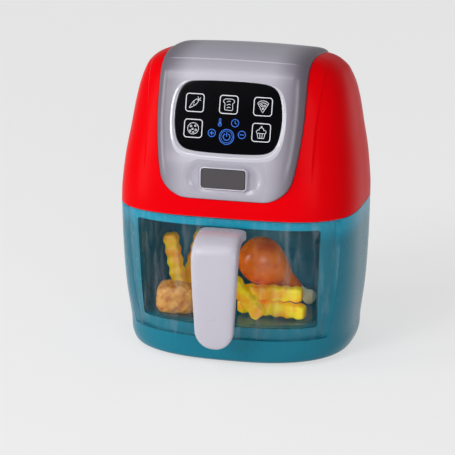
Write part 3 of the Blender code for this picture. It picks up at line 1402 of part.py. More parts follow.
def make_food_drawer():
    top = LOWER_TOP - CLEARANCE
    foot = PLATE_FOOT + CLEARANCE
    mesh = lower_loft("food_drawer", foot, top)
    mesh.transform(DRAWER_BACK)
    drawer = add_part("food_drawer", mesh, CLEAR_PLASTIC, DRAWER)
    inner = lower_loft("plate_inner", BASE_LIFT, top + OVERRUN, PLATE_WALL, PLATE_WALL, PLATE_WALL)
    cut(drawer, add_cutter("plate_inner", inner, HOUSING))
    half_height = (top - foot) / 2
    outline = rounded_rectangle(HALF_DEPTH, half_height, PLATE_CORNER, 4)
    mesh = prism_mesh("plate_outline", outline, -BODY_WIDTH, BODY_WIDTH)
    frame = Matrix.Translation((0, -PLATE_END - CLEARANCE - HALF_DEPTH, foot + half_height))
    turn = Matrix(((0, 0, 1, 0), (1, 0, 0, 0), (0, 1, 0, 0), (0, 0, 0, 1)))
    keep(drawer, add_cutter("plate_outline", mesh, HOUSING, frame @ turn))

    # The box behind the plate, narrower at its foot, open at the top
    top_half = OPENING_HALF_TOP - TRAY_SIDE_GAP
    foot_half = OPENING_HALF_FOOT - TRAY_SIDE_GAP
    tray = tray_solid("tray", top_half, foot_half, TRAY_FLOOR, TRAY_TOP, TRAY_BACK)
    tray = add_cutter("tray", tray, HOUSING)
    hollow = tray_solid(
        "tray_hollow", top_half - TRAY_WALL, foot_half - TRAY_WALL, TRAY_FLOOR + TRAY_WALL,
        TRAY_TOP + OVERRUN, TRAY_BACK - TRAY_WALL
    )
    cut(tray, add_cutter("tray_hollow", hollow, HOUSING))
    for sx in (-1, 1):
        x = sx * RUNNER_SHARE * HALF_WIDTH
        low = (x - RUNNER_WIDTH / 2, -BODY_DEPTH, OPENING_FOOT + CLEARANCE)
        high = (x + RUNNER_WIDTH / 2, TRAY_BACK - TRAY_CORNER, TRAY_FLOOR + TRAY_WALL / 2)
        join(tray, add_cutter("runner", box_mesh("runner", low, high), HOUSING))
    middle = PLATE_WALL / 2
    trim = lower_loft("tray_trim", BASE_LIFT, LOWER_TOP + OVERRUN, middle, middle, 0.0)
    keep(tray, add_cutter("tray_trim", trim, HOUSING))
    join(drawer, tray)

    for sx in (-1, 1):
        frame = on_axis((0, -1, 0), (sx * HANDLE_SCREW_X, 0, HANDLE_SCREW_Z))
        hole = cylinder_mesh("handle_screw_hole", HANDLE_SCREW_HOLE_RADIUS, OVERRUN, BODY_DEPTH, 12)
        cut(drawer, add_cutter("handle_screw_hole", hole, HOUSING, frame))


def tray_solid(name, top_half, foot_half, foot, top, back):
    """A box with round back corners that narrows towards its foot."""
    rings = []
    for half, height in ((foot_half, foot), (top_half, top)):
        ring = [(-half, -BODY_DEPTH), (half, -BODY_DEPTH)]
        for side, start in ((1, 0), (-1, math.pi / 2)):
            for step in range(TRAY_CORNER_STEPS + 1):
                angle = start + math.pi / 2 * step / TRAY_CORNER_STEPS
                ring.append((
                    side * (half - TRAY_CORNER) + TRAY_CORNER * math.cos(angle),
                    back - TRAY_CORNER + TRAY_CORNER * math.sin(angle),
                ))
        rings.append([(x, y, height) for x, y in ring])
    return loft_mesh(name, rings)


def handle_stations():
    """Centre, half width, half thickness and direction of each cross-section of the handle."""
    height = HANDLE_TOP - HANDLE_FOOT
    reach = HANDLE_REACH - CLEARANCE
    front = -HALF_DEPTH - CLEARANCE
    stations = []
    for (out_y, out_z, in_y, in_z), width in zip(HANDLE_STATION_SHARES, HANDLE_WIDTH_SHARES):
        outer = Vector((0, front - out_y * reach, HANDLE_FOOT + out_z * height))
        inner = Vector((0, front - in_y * reach, HANDLE_FOOT + in_z * height))
        stations.append((outer, inner, width * HANDLE_HALF_WIDTH))
    outer, inner, width = stations[-1]
    end_outer = Vector((0, front - HANDLE_END_SHARES[0] * reach, HANDLE_FOOT))
    end_inner = Vector((0, front - HANDLE_END_SHARES[1] * reach, HANDLE_FOOT))
    radius = width
    for step in range(1, HANDLE_END_STEPS + 1):
        angle = math.pi / 2 * step / (HANDLE_END_STEPS + HANDLE_TIP_SHARE)
        drop = radius * math.sin(angle)
        share = drop / max(outer.z - HANDLE_FOOT, CLEARANCE)
        share = min(share, 1.0)
        width = radius * math.cos(angle)
        stations.append((outer.lerp(end_outer, share), inner.lerp(end_inner, share), width))
    return stations


def make_handle():
    rings = []
    for outer, inner, half_width in handle_stations():
        centre = (outer + inner) / 2
        half = (outer - inner) / 2
        ring = []
        for index in range(HANDLE_RING_POINTS):
            angle = 2 * math.pi * index / HANDLE_RING_POINTS
            x, y = oval_point(angle, half_width, 1.0, HANDLE_ROUNDNESS)
            ring.append(centre + Vector((x, 0, 0)) + half * y)
        rings.append(ring)
    mesh = loft_mesh("drawer_handle", rings)
    mesh.transform(DRAWER_BACK)
    handle = add_part("drawer_handle", mesh, PALE_PLASTIC, DRAWER)
    plate_back = HALF_DEPTH - PLATE_WALL - CLEARANCE
    for number, sx in enumerate((-1, 1), 1):
        frame = on_axis((0, -1, 0), (sx * HANDLE_SCREW_X, 0, HANDLE_SCREW_Z))
        tip = plate_back + HANDLE_SCREW_LENGTH
        hole = cylinder_mesh("handle_bore", HANDLE_SCREW_HOLE_RADIUS, OVERRUN, tip + CLEARANCE, 12)
        cut(handle, add_cutter("handle_bore", hole, HOUSING, frame))
        profile = [
            (0, tip),
            (HANDLE_SCREW_RADIUS, tip - HANDLE_SCREW_RADIUS),
            (HANDLE_SCREW_RADIUS, plate_back),
            (HANDLE_SCREW_HEAD, plate_back),
            (HANDLE_SCREW_HEAD, plate_back - HANDLE_SCREW_HEAD_DEPTH / 2),
            (HANDLE_SCREW_HEAD - HANDLE_SCREW_HEAD_DEPTH / 2, plate_back - HANDLE_SCREW_HEAD_DEPTH),
            (0, plate_back - HANDLE_SCREW_HEAD_DEPTH),
        ]
        turned(f"handle_screw_{number}", profile, ZINC, DRAWER, DRAWER_BACK @ frame, 12)


def tray_size():
    """Half the width, the depth and the height of the space in the tray."""
    half = OPENING_HALF_FOOT - TRAY_SIDE_GAP - TRAY_WALL
    depth = TRAY_BACK - TRAY_WALL + HALF_DEPTH - PLATE_WALL
    return half, depth, TRAY_TOP - TRAY_FLOOR - TRAY_WALL


def food_frame(shares, turn):
    """A place in the tray, with the food kept in proportion to the tray."""
    x, y, z = (share * size for share, size in zip(shares, tray_size()))
    place = Matrix.Translation((x, PLATE_WALL - HALF_DEPTH + y, TRAY_FLOOR + TRAY_WALL + z))
    stretch = [size / named for size, named in zip(tray_size(), FOOD_TRAY_SIZE)]
    return DRAWER_BACK @ place @ Matrix.Diagonal((*stretch, 1.0)) @ turn


def fry_mesh(name):
    """A crinkle-cut bar along X: a chamfered square section that swells and shrinks in even waves."""
    rings = []
    count = 2 * FRY_WAVES
    for index in range(count + 1):
        x = FRY_LENGTH * (index / count - 0.5)
        half = FRY_THICKNESS / 2 - (FRY_WAVE if index % 2 == 0 else 0.0)
        flat = half * FRY_CHAMFER_SHARE
        section = [
            (flat, half), (half, flat), (half, -flat), (flat, -half),
            (-flat, -half), (-half, -flat), (-half, flat), (-flat, half),
        ]
        rings.append([(x, y, z) for y, z in section])
    return loft_mesh(name, rings)


def make_food():
    places = zip(FRY_PLACE_SHARES, FRY_TURNS_DEG, FRY_LEANS_DEG)
    for number, (shares, turn, lean) in enumerate(places, 1):
        name = f"crinkle_fry_{number}"
        frame = Matrix.Rotation(math.radians(turn), 4, "Z") @ Matrix.Rotation(-math.radians(lean), 4, "Y")
        mesh = fry_mesh(name)
        mesh.transform(food_frame(shares, frame))
        add_part(name, mesh, FRY_YELLOW, DRAWER)

    # The drumstick leans on the stacked fries with its bone end on the floor of the tray
    bm = bmesh.new()
    verts = [
        bm.verts.new((radius * DRUM_RADIUS, 0, (height - 1 / 2) * DRUM_LENGTH))
        for radius, height in DRUM_PROFILE_SHARES
    ]
    edges = [bm.edges.new(pair) for pair in zip(verts, verts[1:])]
    bmesh.ops.spin(
        bm, geom=verts + edges, cent=(0, 0, 0), axis=(0, 0, 1), angle=2 * math.pi,
        steps=DRUM_STEPS, use_merge=True
    )
    bmesh.ops.remove_doubles(bm, verts=bm.verts, dist=CLEARANCE / 10)
    mesh = to_mesh("drumstick", bm)
    frame = Matrix.Rotation(math.radians(DRUM_TURN_DEG), 4, "Z")
    frame = frame @ Matrix.Rotation(math.radians(DRUM_LEAN_DEG) - math.pi / 2, 4, "Y")
    mesh.transform(food_frame(DRUM_PLACE_SHARES, frame))
    add_part("drumstick", mesh, MEAT_BROWN, DRAWER)

    bm = bmesh.new()
    bmesh.ops.create_cube(bm, size=1.0)
    for vert, share in zip(bm.verts, NUGGET_CAGE_SHARES):
        vert.co *= share
    size = Matrix.Diagonal((NUGGET_LENGTH, NUGGET_WIDTH, NUGGET_TALL, 1.0))
    bmesh.ops.transform(bm, matrix=food_frame(NUGGET_PLACE_SHARES, size), verts=bm.verts)
    nugget = add_part("nugget", to_mesh("nugget", bm), MEAT_BROWN, DRAWER)
    soft = nugget.modifiers.new("soft", "SUBSURF")
    soft.levels = 2
    soft.render_levels = 2


make_lower_housing()
make_feet()
make_drawer_bay()
make_deck_plate()
make_upper_housing()
make_fascia()
make_window()
make_electronics(make_push_panel())
make_housing_screws()
make_battery_compartment()
make_cells()
make_speaker()
make_food_drawer()
make_handle()
make_food()
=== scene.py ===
import json
import math

import bmesh
import bpy
import numpy as np
from mathutils import Matrix, Vector
from mathutils.bvhtree import BVHTree


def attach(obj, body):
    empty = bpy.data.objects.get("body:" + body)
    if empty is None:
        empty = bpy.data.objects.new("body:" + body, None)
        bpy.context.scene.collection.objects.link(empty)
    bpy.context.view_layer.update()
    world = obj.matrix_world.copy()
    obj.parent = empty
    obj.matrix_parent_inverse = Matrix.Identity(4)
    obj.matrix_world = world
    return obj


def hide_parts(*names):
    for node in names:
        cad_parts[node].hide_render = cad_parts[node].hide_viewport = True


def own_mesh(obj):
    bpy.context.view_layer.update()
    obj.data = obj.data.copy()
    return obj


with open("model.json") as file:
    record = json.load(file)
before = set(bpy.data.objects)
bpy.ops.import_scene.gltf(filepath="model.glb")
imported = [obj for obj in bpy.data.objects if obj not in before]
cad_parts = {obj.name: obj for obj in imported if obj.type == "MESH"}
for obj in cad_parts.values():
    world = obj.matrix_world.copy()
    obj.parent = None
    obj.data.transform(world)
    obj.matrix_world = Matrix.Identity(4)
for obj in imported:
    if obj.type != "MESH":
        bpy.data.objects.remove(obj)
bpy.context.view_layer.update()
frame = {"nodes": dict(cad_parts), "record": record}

# %% [markdown]
# A toy air fryer is a handful of glossy injection mouldings.
# What sells them as plastic is a nearly even colour, a very slight ripple that bends the reflections,
# and a roughness that drifts a little from place to place.
# A small class wraps shader sockets, so that a finish can be written as a sum of noises.

# %% Shader values that can be added and multiplied


class Value:
    """A number inside a material, which can be used in sums."""

    def __init__(self, finish, socket):
        self.finish = finish
        self.socket = socket

    def math(self, operation, first, second):
        node = self.finish.node("Math", {"operation": operation}, {0: first, 1: second})
        return Value(self.finish, node.outputs[0])

    def __add__(self, other):
        return self.math("ADD", self, other)

    def __radd__(self, other):
        return self.math("ADD", other, self)

    def __sub__(self, other):
        return self.math("SUBTRACT", self, other)

    def __rsub__(self, other):
        return self.math("SUBTRACT", other, self)

    def __mul__(self, other):
        return self.math("MULTIPLY", self, other)

    def __rmul__(self, other):
        return self.math("MULTIPLY", other, self)

    def ramp(self, low, high):
        """0 below low, 1 above high and smooth between them."""
        inputs = {"Value": self, "From Min": low, "From Max": high}
        node = self.finish.node("MapRange", {"interpolation_type": "SMOOTHSTEP"}, inputs)
        return Value(self.finish, node.outputs[0])


class Finish:
    """A material with one main shader, and the means to feed it."""

    def __init__(self, name, slot, **constants):
        self.slot = slot
        self.material = bpy.data.materials.new(name)
        self.material.use_nodes = True
        self.tree = self.material.node_tree
        self.shader = self.tree.nodes["Principled BSDF"]
        for key, value in constants.items():
            self.shader.inputs[key.replace("_", " ")].default_value = value

    def feed(self, socket, value):
        if isinstance(value, Value):
            value = value.socket
        if isinstance(value, bpy.types.NodeSocket):
            self.tree.links.new(value, socket)
        else:
            socket.default_value = value

    def node(self, kind, settings=None, inputs=None):
        made = self.tree.nodes.new("ShaderNode" + kind)
        for key, value in (settings or {}).items():
            setattr(made, key, value)
        for key, value in (inputs or {}).items():
            self.feed(made.inputs[key], value)
        return made

    def set(self, key, value):
        self.feed(self.shader.inputs[key], value)

    def place(self, scale=(1, 1, 1)):
        """Object coordinates, stretched by a scale."""
        coords = self.node("TexCoord").outputs["Object"]
        return self.node("Mapping", None, {"Vector": coords, "Scale": scale}).outputs[0]

    def noise(self, size, detail=2.0, stretch=(1, 1, 1)):
        """A noise from 0 to 1 whose patches are about size metres across."""
        inputs = {"Vector": self.place(stretch), "Scale": 1 / size, "Detail": detail}
        node = self.node("TexNoise", None, inputs)
        return Value(self, node.outputs[0])

    def mix(self, share, first, second):
        """A colour between two others."""
        node = self.node("Mix", {"data_type": "RGBA"}, {"Factor": share, 6: first, 7: second})
        return node.outputs[2]

    def coordinate(self, axis):
        """The object coordinate along X, Y or Z, in metres."""
        return Value(self, self.node("SeparateXYZ", None, {0: self.place()}).outputs[axis])

    def bump(self, height, depth):
        """Relief: height runs from 0 to 1 over depth metres. Returns the tilted normal."""
        node = self.node("Bump", None, {"Height": height, "Distance": depth})
        self.set("Normal", node.outputs[0])
        return node.outputs[0]


def tone(red, green, blue):
    """A screen colour from 0 to 255 as the linear colour that a shader takes."""
    parts = []
    for part in (red, green, blue):
        part = part / 255
        parts.append(part / 12.92 if part <= 0.04045 else ((part + 0.055) / 1.055) ** 2.4)
    return (*parts, 1.0)


print("red of the shell:", [round(part, 3) for part in tone(228, 0, 10)])

# %% [markdown]
# Moulded plastic: the colour is mixed into the resin, so it hardly changes over a piece.
# Cooling leaves a faint ripple about a centimetre long and a finer grain under it.
# Both go into the bump, and a slower noise drives the roughness, the way handling dulls a gloss in places.
# The teal of the tub is painted lighter in the band over the drawer: a painted highlight where the light
# falls on its rim.

# %% Plastic finishes


def plastic(name, slot, color, roughness, gloss_drift=0.06, ripple=0.00004, **constants):
    finish = Finish(name, slot, IOR=1.46, **constants)
    darker = tuple(part * 0.93 for part in color[:3]) + (1.0,)
    finish.set("Base Color", finish.mix(finish.noise(0.03), color, darker))
    finish.set("Roughness", finish.noise(0.012, 4.0) * gloss_drift + (roughness - gloss_drift / 2))
    finish.bump(finish.noise(0.011) * 0.8 + finish.noise(0.0012) * 0.2, ripple)
    return finish


RED = plastic("red_gloss", "red_plastic", tone(228, 0, 10), 0.30, Specular_IOR_Level=0.03)
GREY = plastic(
    "grey_satin", "grey_plastic", tone(168, 165, 176), 0.30, 0.05, 0.000025, Specular_IOR_Level=0.6
)
# The polished grey of the surround and rim is the fascia's own plastic painted lighter: a painted highlight
# for the light their edges catch.
EDGE_WITH_PAINTED_HIGHLIGHT = plastic(
    "grey_polished_painted_highlight", "grey_plastic", tone(198, 196, 206), 0.17, 0.04, 0.00001, Specular_IOR_Level=1.0
)
PALE = plastic("pale_grey_satin", "pale_grey_plastic", tone(190, 187, 198), 0.28)
TEAL = plastic("teal_gloss", "teal_plastic", tone(3, 114, 136), 0.27, Specular_IOR_Level=0.3)
# Painted highlight: the teal turns lighter towards the top of the tub, over the drawer.
painted_highlight_share = TEAL.coordinate("Z").ramp(0.084, 0.097)
painted_highlight_colour = TEAL.mix(painted_highlight_share, tone(3, 114, 136), tone(12, 150, 180))
TEAL.set("Base Color", TEAL.mix(TEAL.noise(0.03) * 0.15, painted_highlight_colour, tone(2, 96, 116)))
# Painted light: the liner glows faintly in teal, to lift the inside of the drawer bay, where only shade
# falls.
DEEP_TEAL = plastic("deep_teal_satin", "dark_teal_plastic", tone(6, 134, 158), 0.28, Emission_Strength=0.17)
DEEP_TEAL.set("Emission Color", DEEP_TEAL.mix(DEEP_TEAL.noise(0.03), tone(10, 98, 126), tone(6, 72, 96)))
BLACK = plastic("black_gloss", "black_panel", tone(4, 4, 7), 0.12, 0.05, 0.00002, Specular_IOR_Level=0.07)
LENS = plastic("smoked_lens", "smoked_lens", tone(70, 66, 70), 0.18, 0.05, 0.00002)
DULL_BLACK = plastic("dull_black", "black_plastic", tone(40, 40, 42), 0.50)
print("plastics:", RED.material.name, GREY.material.name, PALE.material.name, TEAL.material.name)

# %% [markdown]
# The small hardware inside is steel, plated steel, copper and resin.
# It is only seen when the drawer is out or from the back,
# so each finish is one noise in colour and one in roughness.

# %% Hardware finishes


def metal(name, slot, color, roughness, stretch=(1, 1, 1)):
    finish = Finish(name, slot, Metallic=1.0)
    darker = tuple(part * 0.8 for part in color[:3]) + (1.0,)
    finish.set("Base Color", finish.mix(finish.noise(0.002, 3.0, stretch), color, darker))
    finish.set("Roughness", finish.noise(0.0007, 3.0, stretch) * 0.15 + roughness)
    finish.bump(finish.noise(0.0005, 2.0, stretch), 0.00001)
    return finish


ZINC = metal("zinc", "zinc_screw", tone(190, 190, 196), 0.28)
STEEL = metal("spring_steel", "spring_steel", tone(200, 200, 205), 0.22, (1, 1, 6))
BOARD = plastic("board_green", "circuit_board", tone(24, 96, 54), 0.35)
WRAP = plastic("cell_wrap", "cell_wrap", tone(176, 116, 52), 0.28)
RUBBER = plastic("foot_rubber", "foot_rubber", tone(54, 54, 58), 0.80, 0.10, 0.00006)
print("hardware:", ZINC.material.name, STEEL.material.name, BOARD.material.name)

# %% [markdown]
# The drawer is clear polystyrene.
# It is drawn as what the eye sees of a thin clear wall: a reflection that grows towards grazing angles,
# over what lies behind, with a trace of cool tint.
# The share of the reflection follows the angle to the view,
# between a transparent shader and a sharp reflecting one.
# Seen edge-on the wall is thick, so there it lets through less, with a green cast.

# %% Clear plastic


def clear_plastic():
    finish = Finish("clear_styrene", "clear_plastic", Metallic=1.0, IOR=1.5)
    finish.set("Base Color", finish.mix(finish.noise(0.02), tone(250, 253, 255), tone(236, 246, 250)))
    finish.set("Roughness", finish.noise(0.01, 3.0) * 0.03 + 0.03)
    streaks = finish.noise(0.005, 3.0, (1, 1, 0.15))
    normal = finish.bump(streaks, 0.00012)
    facing = Value(finish, finish.node("LayerWeight", None, {"Normal": normal}).outputs["Facing"])
    glance = facing.math("POWER", facing, 5.0)
    share = glance * 0.80 + streaks.ramp(0.50, 0.72) * 0.06 + 0.010
    thin = finish.node("BsdfTransparent", None, {"Color": tone(249, 254, 254)})
    thick = finish.node("BsdfTransparent", None, {"Color": tone(128, 172, 176)})
    edge = facing.ramp(0.5, 1.0) * 0.7
    through = finish.node("MixShader", None, {0: edge, 1: thin.outputs[0], 2: thick.outputs[0]})
    blend = finish.node("MixShader", None, {0: share, 1: through.outputs[0], 2: finish.shader.outputs[0]})
    output = finish.tree.nodes["Material Output"]
    finish.feed(output.inputs["Surface"], blend.outputs[0])
    return finish


CLEAR = clear_plastic()
print("clear:", CLEAR.material.name)

# %% [markdown]
# Every moulding below starts as a flat grid whose points are put on a formula, so helpers come first.
# They lay a grid over a table of points, bake cuts, round edges and hand the finished piece over.

# %% Helpers for surfaces


def surface(name, points, seam=False, caps=False):
    """A grid laid over an array of points, rows by columns; a seam joins its last column to its first."""
    rows, columns = points.shape[0] - 1, points.shape[1] - 1
    bm = bmesh.new()
    bmesh.ops.create_grid(bm, x_segments=columns, y_segments=rows, size=0.5)
    for vert in bm.verts:
        vert.co = points[round((vert.co.y + 0.5) * rows), round((vert.co.x + 0.5) * columns)]
    if seam:
        bmesh.ops.remove_doubles(bm, verts=bm.verts, dist=0.000002)
    if caps:
        bmesh.ops.holes_fill(bm, edges=[edge for edge in bm.edges if edge.is_boundary], sides=0)
    return to_object(name, bm)


def tube(name, rows, caps=True):
    """A surface whose rows are closed loops."""
    return surface(name, np.array(rows, float), seam=True, caps=caps)


def add_object(name, data):
    obj = bpy.data.objects.new(name, data)
    bpy.context.scene.collection.objects.link(obj)
    return obj


def to_object(name, bm):
    bmesh.ops.recalc_face_normals(bm, faces=bm.faces)
    mesh = bpy.data.meshes.new(name)
    bm.to_mesh(mesh)
    bm.free()
    return add_object(name, mesh)


def bake(obj):
    """The object with its modifiers made part of its mesh."""
    bpy.context.view_layer.update()
    solid = obj.evaluated_get(bpy.context.evaluated_depsgraph_get())
    mesh = bpy.data.meshes.new_from_object(solid)
    obj.modifiers.clear()
    obj.data = mesh
    return obj


def boolean(obj, tool, operation="DIFFERENCE"):
    """The object cut by a tool, or joined with it. The tool is used up."""
    modifier = obj.modifiers.new("shape", "BOOLEAN")
    modifier.operation = operation
    modifier.solver = "EXACT"
    modifier.object = tool
    bake(obj)
    bpy.data.objects.remove(tool, do_unlink=True)
    return obj


def thicken(obj, wall, even=True):
    """A wall that grows inwards from the outer surface; an even one is measured across it."""
    modifier = obj.modifiers.new("wall", "SOLIDIFY")
    modifier.thickness = wall
    modifier.offset = -1.0
    modifier.use_even_offset = even
    return bake(obj)


def soften(obj, width):
    """Round the sharp edges, so that they catch the light."""
    modifier = obj.modifiers.new("rounded", "BEVEL")
    modifier.width = width
    modifier.segments = 2
    modifier.limit_method = "ANGLE"
    modifier.angle_limit = math.radians(35)
    return obj


def hand_over(obj, finish, body, *nodes, angle=35):
    """Give a finished piece its material and shading and its body, and hide the CAD nodes it stands for."""
    obj.data.materials.clear()
    obj.data.materials.append(finish.material)
    obj.data.shade_smooth()
    obj.data.set_sharp_from_angle(angle=math.radians(angle))
    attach(obj, body)
    if nodes:
        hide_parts(*nodes)
    return obj


def box(name, low, high):
    """A block between two corners."""
    bm = bmesh.new()
    low, high = Vector(low), Vector(high)
    place = Matrix.Translation((low + high) / 2) @ Matrix.Diagonal((*(high - low), 1.0))
    bmesh.ops.create_cube(bm, size=1.0, matrix=place)
    return to_object(name, bm)


print("surfaces are laid over tables of points, for example:", np.zeros((3, 4, 3)).shape)

# %% [markdown]
# Both halves of the body are stacks of rounded-rectangle curves.
# The tables hold the same levels that the CAD model uses; here a smooth curve is drawn through their rows,
# and each ring gets evenly spaced points, so reflections run without facets.

# %% Levels of the two shells
HALF_WIDTH = 0.080
HALF_DEPTH = 0.060
BODY_Y = 0.0135
BASE = 0.0010
LOWER_TOP = 0.0998
UPPER_FOOT = 0.1002
UPPER_RISE = 0.1008
LOWER_LEVELS = [
    (0.000, 0.800, 0.858, 0.858, 2.60),
    (0.009, 0.875, 0.945, 0.945, 2.62),
    (0.032, 0.918, 0.997, 0.985, 2.65),
    (0.071, 0.938, 1.007, 0.995, 2.68),
    (0.176, 0.950, 1.009, 1.000, 2.70),
    (0.395, 0.978, 1.006, 1.000, 3.00),
    (0.698, 0.995, 1.002, 1.000, 3.30),
    (1.000, 1.000, 1.000, 1.000, 3.50),
]
UPPER_LEVELS = [
    (0.000, 1.000, 1.000, 1.000, 3.50, 0.00),
    (0.077, 0.999, 0.990, 1.000, 3.50, 0.00),
    (0.177, 0.990, 0.965, 0.993, 3.50, 0.00),
    (0.306, 0.973, 0.917, 0.980, 3.50, 0.00),
    (0.489, 0.936, 0.837, 0.950, 3.45, 0.01),
    (0.673, 0.900, 0.753, 0.910, 3.40, 0.03),
    (0.792, 0.868, 0.697, 0.873, 3.35, 0.06),
    (0.861, 0.840, 0.660, 0.833, 3.30, 0.08),
    (0.911, 0.812, 0.623, 0.793, 3.25, 0.09),
    (0.945, 0.778, 0.577, 0.743, 3.20, 0.10),
    (0.972, 0.730, 0.510, 0.677, 3.10, 0.10),
    (0.988, 0.668, 0.427, 0.593, 3.00, 0.10),
    (0.996, 0.550, 0.283, 0.450, 2.80, 0.10),
    (1.000, 0.300, 0.067, 0.267, 2.50, 0.10),
]


def smooth_rows(rows, step, measure):
    """Rows of a table on a smooth curve through the given ones, about one step apart."""
    rows = np.array(rows, float)
    span = np.linalg.norm(np.diff(rows, axis=0) * measure, axis=1)[:, None]
    slope = np.diff(rows, axis=0) / span
    tangent = np.empty_like(rows)
    tangent[0], tangent[-1] = slope[0], slope[-1]
    tangent[1:-1] = (slope[:-1] * span[1:] + slope[1:] * span[:-1]) / (span[:-1] + span[1:])
    dense = []
    for index in range(len(span)):
        reach = span[index, 0]
        count = max(2, round(reach / step))
        for t in np.arange(count) / count:
            dense.append(
                rows[index] * (2 * t**3 - 3 * t**2 + 1) + tangent[index] * reach * (t**3 - 2 * t**2 + t)
                + rows[index + 1] * (3 * t**2 - 2 * t**3) + tangent[index + 1] * reach * (t**3 - t**2)
            )
    dense.append(rows[-1])
    return np.array(dense)


def even_angles(count):
    """Angles that space the points of a rounded rectangle evenly, from 0 to a full turn."""
    fine = np.linspace(0, math.pi / 2, 2000)
    x = HALF_WIDTH * np.cos(fine).clip(0) ** (2 / 3.3)
    y = HALF_DEPTH * np.sin(fine) ** (2 / 3.3)
    length = np.concatenate([[0], np.cumsum(np.hypot(np.diff(x), np.diff(y)))])
    quarter = np.interp(np.linspace(0, length[-1], count // 4 + 1), length, fine)[:-1]
    return np.concatenate([quarter + turn * math.pi / 2 for turn in range(4)] + [[2 * math.pi]])


def power(values, exponent):
    return np.sign(values) * np.abs(values) ** exponent


def ring(angles, half_width, front, back, roundness, height, lean=0.0):
    """One level: reach to the front and to the back differ, and a lean tips it backwards."""
    half_depth, middle = (front + back) / 2, (back - front) / 2
    x = half_width * power(np.cos(angles), 2 / roundness)
    y = half_depth * power(np.sin(angles), 2 / roundness)
    return np.stack([x, middle + y + BODY_Y, height - lean * (y + half_depth)], axis=1)


def lower_row(height):
    """Width, reach to the front and to the back, and roundness of the tub at a height."""
    share = (height - BASE) / (LOWER_TOP - BASE)
    return [np.interp(share, LOWER_DENSE[:, 0], LOWER_DENSE[:, column]) for column in range(1, 5)]


def lower_ring(angles, height, side=0.0, front=0.0, back=0.0):
    """One level of the tub, drawn in by a distance at its sides, front and back."""
    width, reach, rear, roundness = lower_row(height)
    reach, rear = reach * HALF_DEPTH - front, rear * HALF_DEPTH - back
    return ring(angles, width * HALF_WIDTH - side, reach, rear, roundness, height)


LOWER_DENSE = smooth_rows(LOWER_LEVELS, 0.0012, (LOWER_TOP - BASE, HALF_WIDTH, HALF_DEPTH, HALF_DEPTH, 0))
UPPER_DENSE = smooth_rows(UPPER_LEVELS, 0.0012, (UPPER_RISE, HALF_WIDTH, HALF_DEPTH, HALF_DEPTH, 0, 0))
ANGLES = even_angles(240)
print("levels drawn:", len(LOWER_DENSE), "lower and", len(UPPER_DENSE), "upper")

# %% [markdown]
# The red dome is blown out towards its waist and closes in a tight turn at the top.
# On the real toy it is one glossy shell with a soft crease a little outside the grey fascia.
# The strip inside the crease stands a little proud, so each ring crowds its points there.
# The rings are stacked into a surface here. It is thickened and opened once the fascia is made.

# %% Red dome surface
CREASE_HEIGHTS = [0.1132, 0.1387, 0.1586, 0.1716, 0.1803, 0.1887]
CREASE_HALVES = [0.0562, 0.0557, 0.0561, 0.0569, 0.0575, 0.0582]
CREASE_RISE, CREASE_WIDTH = 0.0006, 0.0006
CREASE_START, CREASE_FADE = 0.118, 0.032


def crease_half(height, half_width):
    """How far the crease lies from the middle at a height, always inside the ring's own half width."""
    return min(float(np.interp(height, CREASE_HEIGHTS, CREASE_HALVES)), half_width * 0.93)


def crease_angles(half_width, half_depth, roundness, crease):
    """Angles of one ring that crowd towards the crease on both sides of its front."""
    fine = np.linspace(0, math.pi / 2, 1500)
    x = half_width * np.cos(fine).clip(0) ** (2 / roundness)
    y = half_depth * np.sin(fine) ** (2 / roundness)
    length = np.concatenate([[0], np.cumsum(np.hypot(np.diff(x), np.diff(y)))])
    turn = float(np.interp(-crease, -x, fine))
    side, total = float(np.interp(turn, fine, length)), length[-1]
    outside = side * (1 - (1 - np.linspace(0, 1, 25)) ** 1.7)
    inside = side + (total - side) * np.linspace(0, 1, 37) ** 1.7
    quarter = np.interp(np.concatenate([outside, inside[1:]]), length, fine)
    rear = np.interp(np.linspace(0, total, 46), length, fine)
    rear = np.concatenate([rear[:-1], math.pi - rear[::-1]])
    return np.concatenate([rear[:-1], math.pi + quarter[:-1], 2 * math.pi - quarter[::-1]])


def upper_points():
    rows = []
    for level, width, front, back, roundness, lean in UPPER_DENSE:
        half_width, height = width * HALF_WIDTH, UPPER_FOOT + level * UPPER_RISE
        crease = crease_half(height, half_width)
        angles = crease_angles(half_width, front * HALF_DEPTH, roundness, crease)
        points = ring(angles, half_width, front * HALF_DEPTH, back * HALF_DEPTH, roundness, height, lean)
        fade = min(max((height - CREASE_START) / CREASE_FADE, 0.0), 1.0)
        rise = CREASE_RISE * fade * fade * (3 - 2 * fade)
        inside = ((crease - np.abs(points[:, 0])) / CREASE_WIDTH).clip(-1, 1) * 0.5 + 0.5
        raised = np.where(np.sin(angles) < 0, inside * rise, 0.0)
        points[:, 0] += raised * np.cos(angles)
        points[:, 1] += raised * np.sin(angles)
        rows.append(points)
    return np.array(rows)


def close_top(points):
    """Rows that carry the surface on over the flat crown to its middle."""
    last = points[-1]
    middle = last[:-1].mean(axis=0)
    return np.concatenate([points, [middle + (last - middle) * share for share in (0.66, 0.33, 0.0)]])


dome = tube("dome_shell", close_top(upper_points()), caps=False)
DOME_MESH = bmesh.new()
DOME_MESH.from_mesh(dome.data)
DOME_TREE = BVHTree.FromBMesh(DOME_MESH)
print("dome points:", len(dome.data.vertices))

# %% [markdown]
# The fascia is a long tongue that climbs the front, bends over the top and ends behind the crown.
# Its side profile is a curve in the middle plane, and its outline is a tapering strip with round corners.
# The edge falls away in a quarter round that lands on the red dome, wherever the dome happens to be.

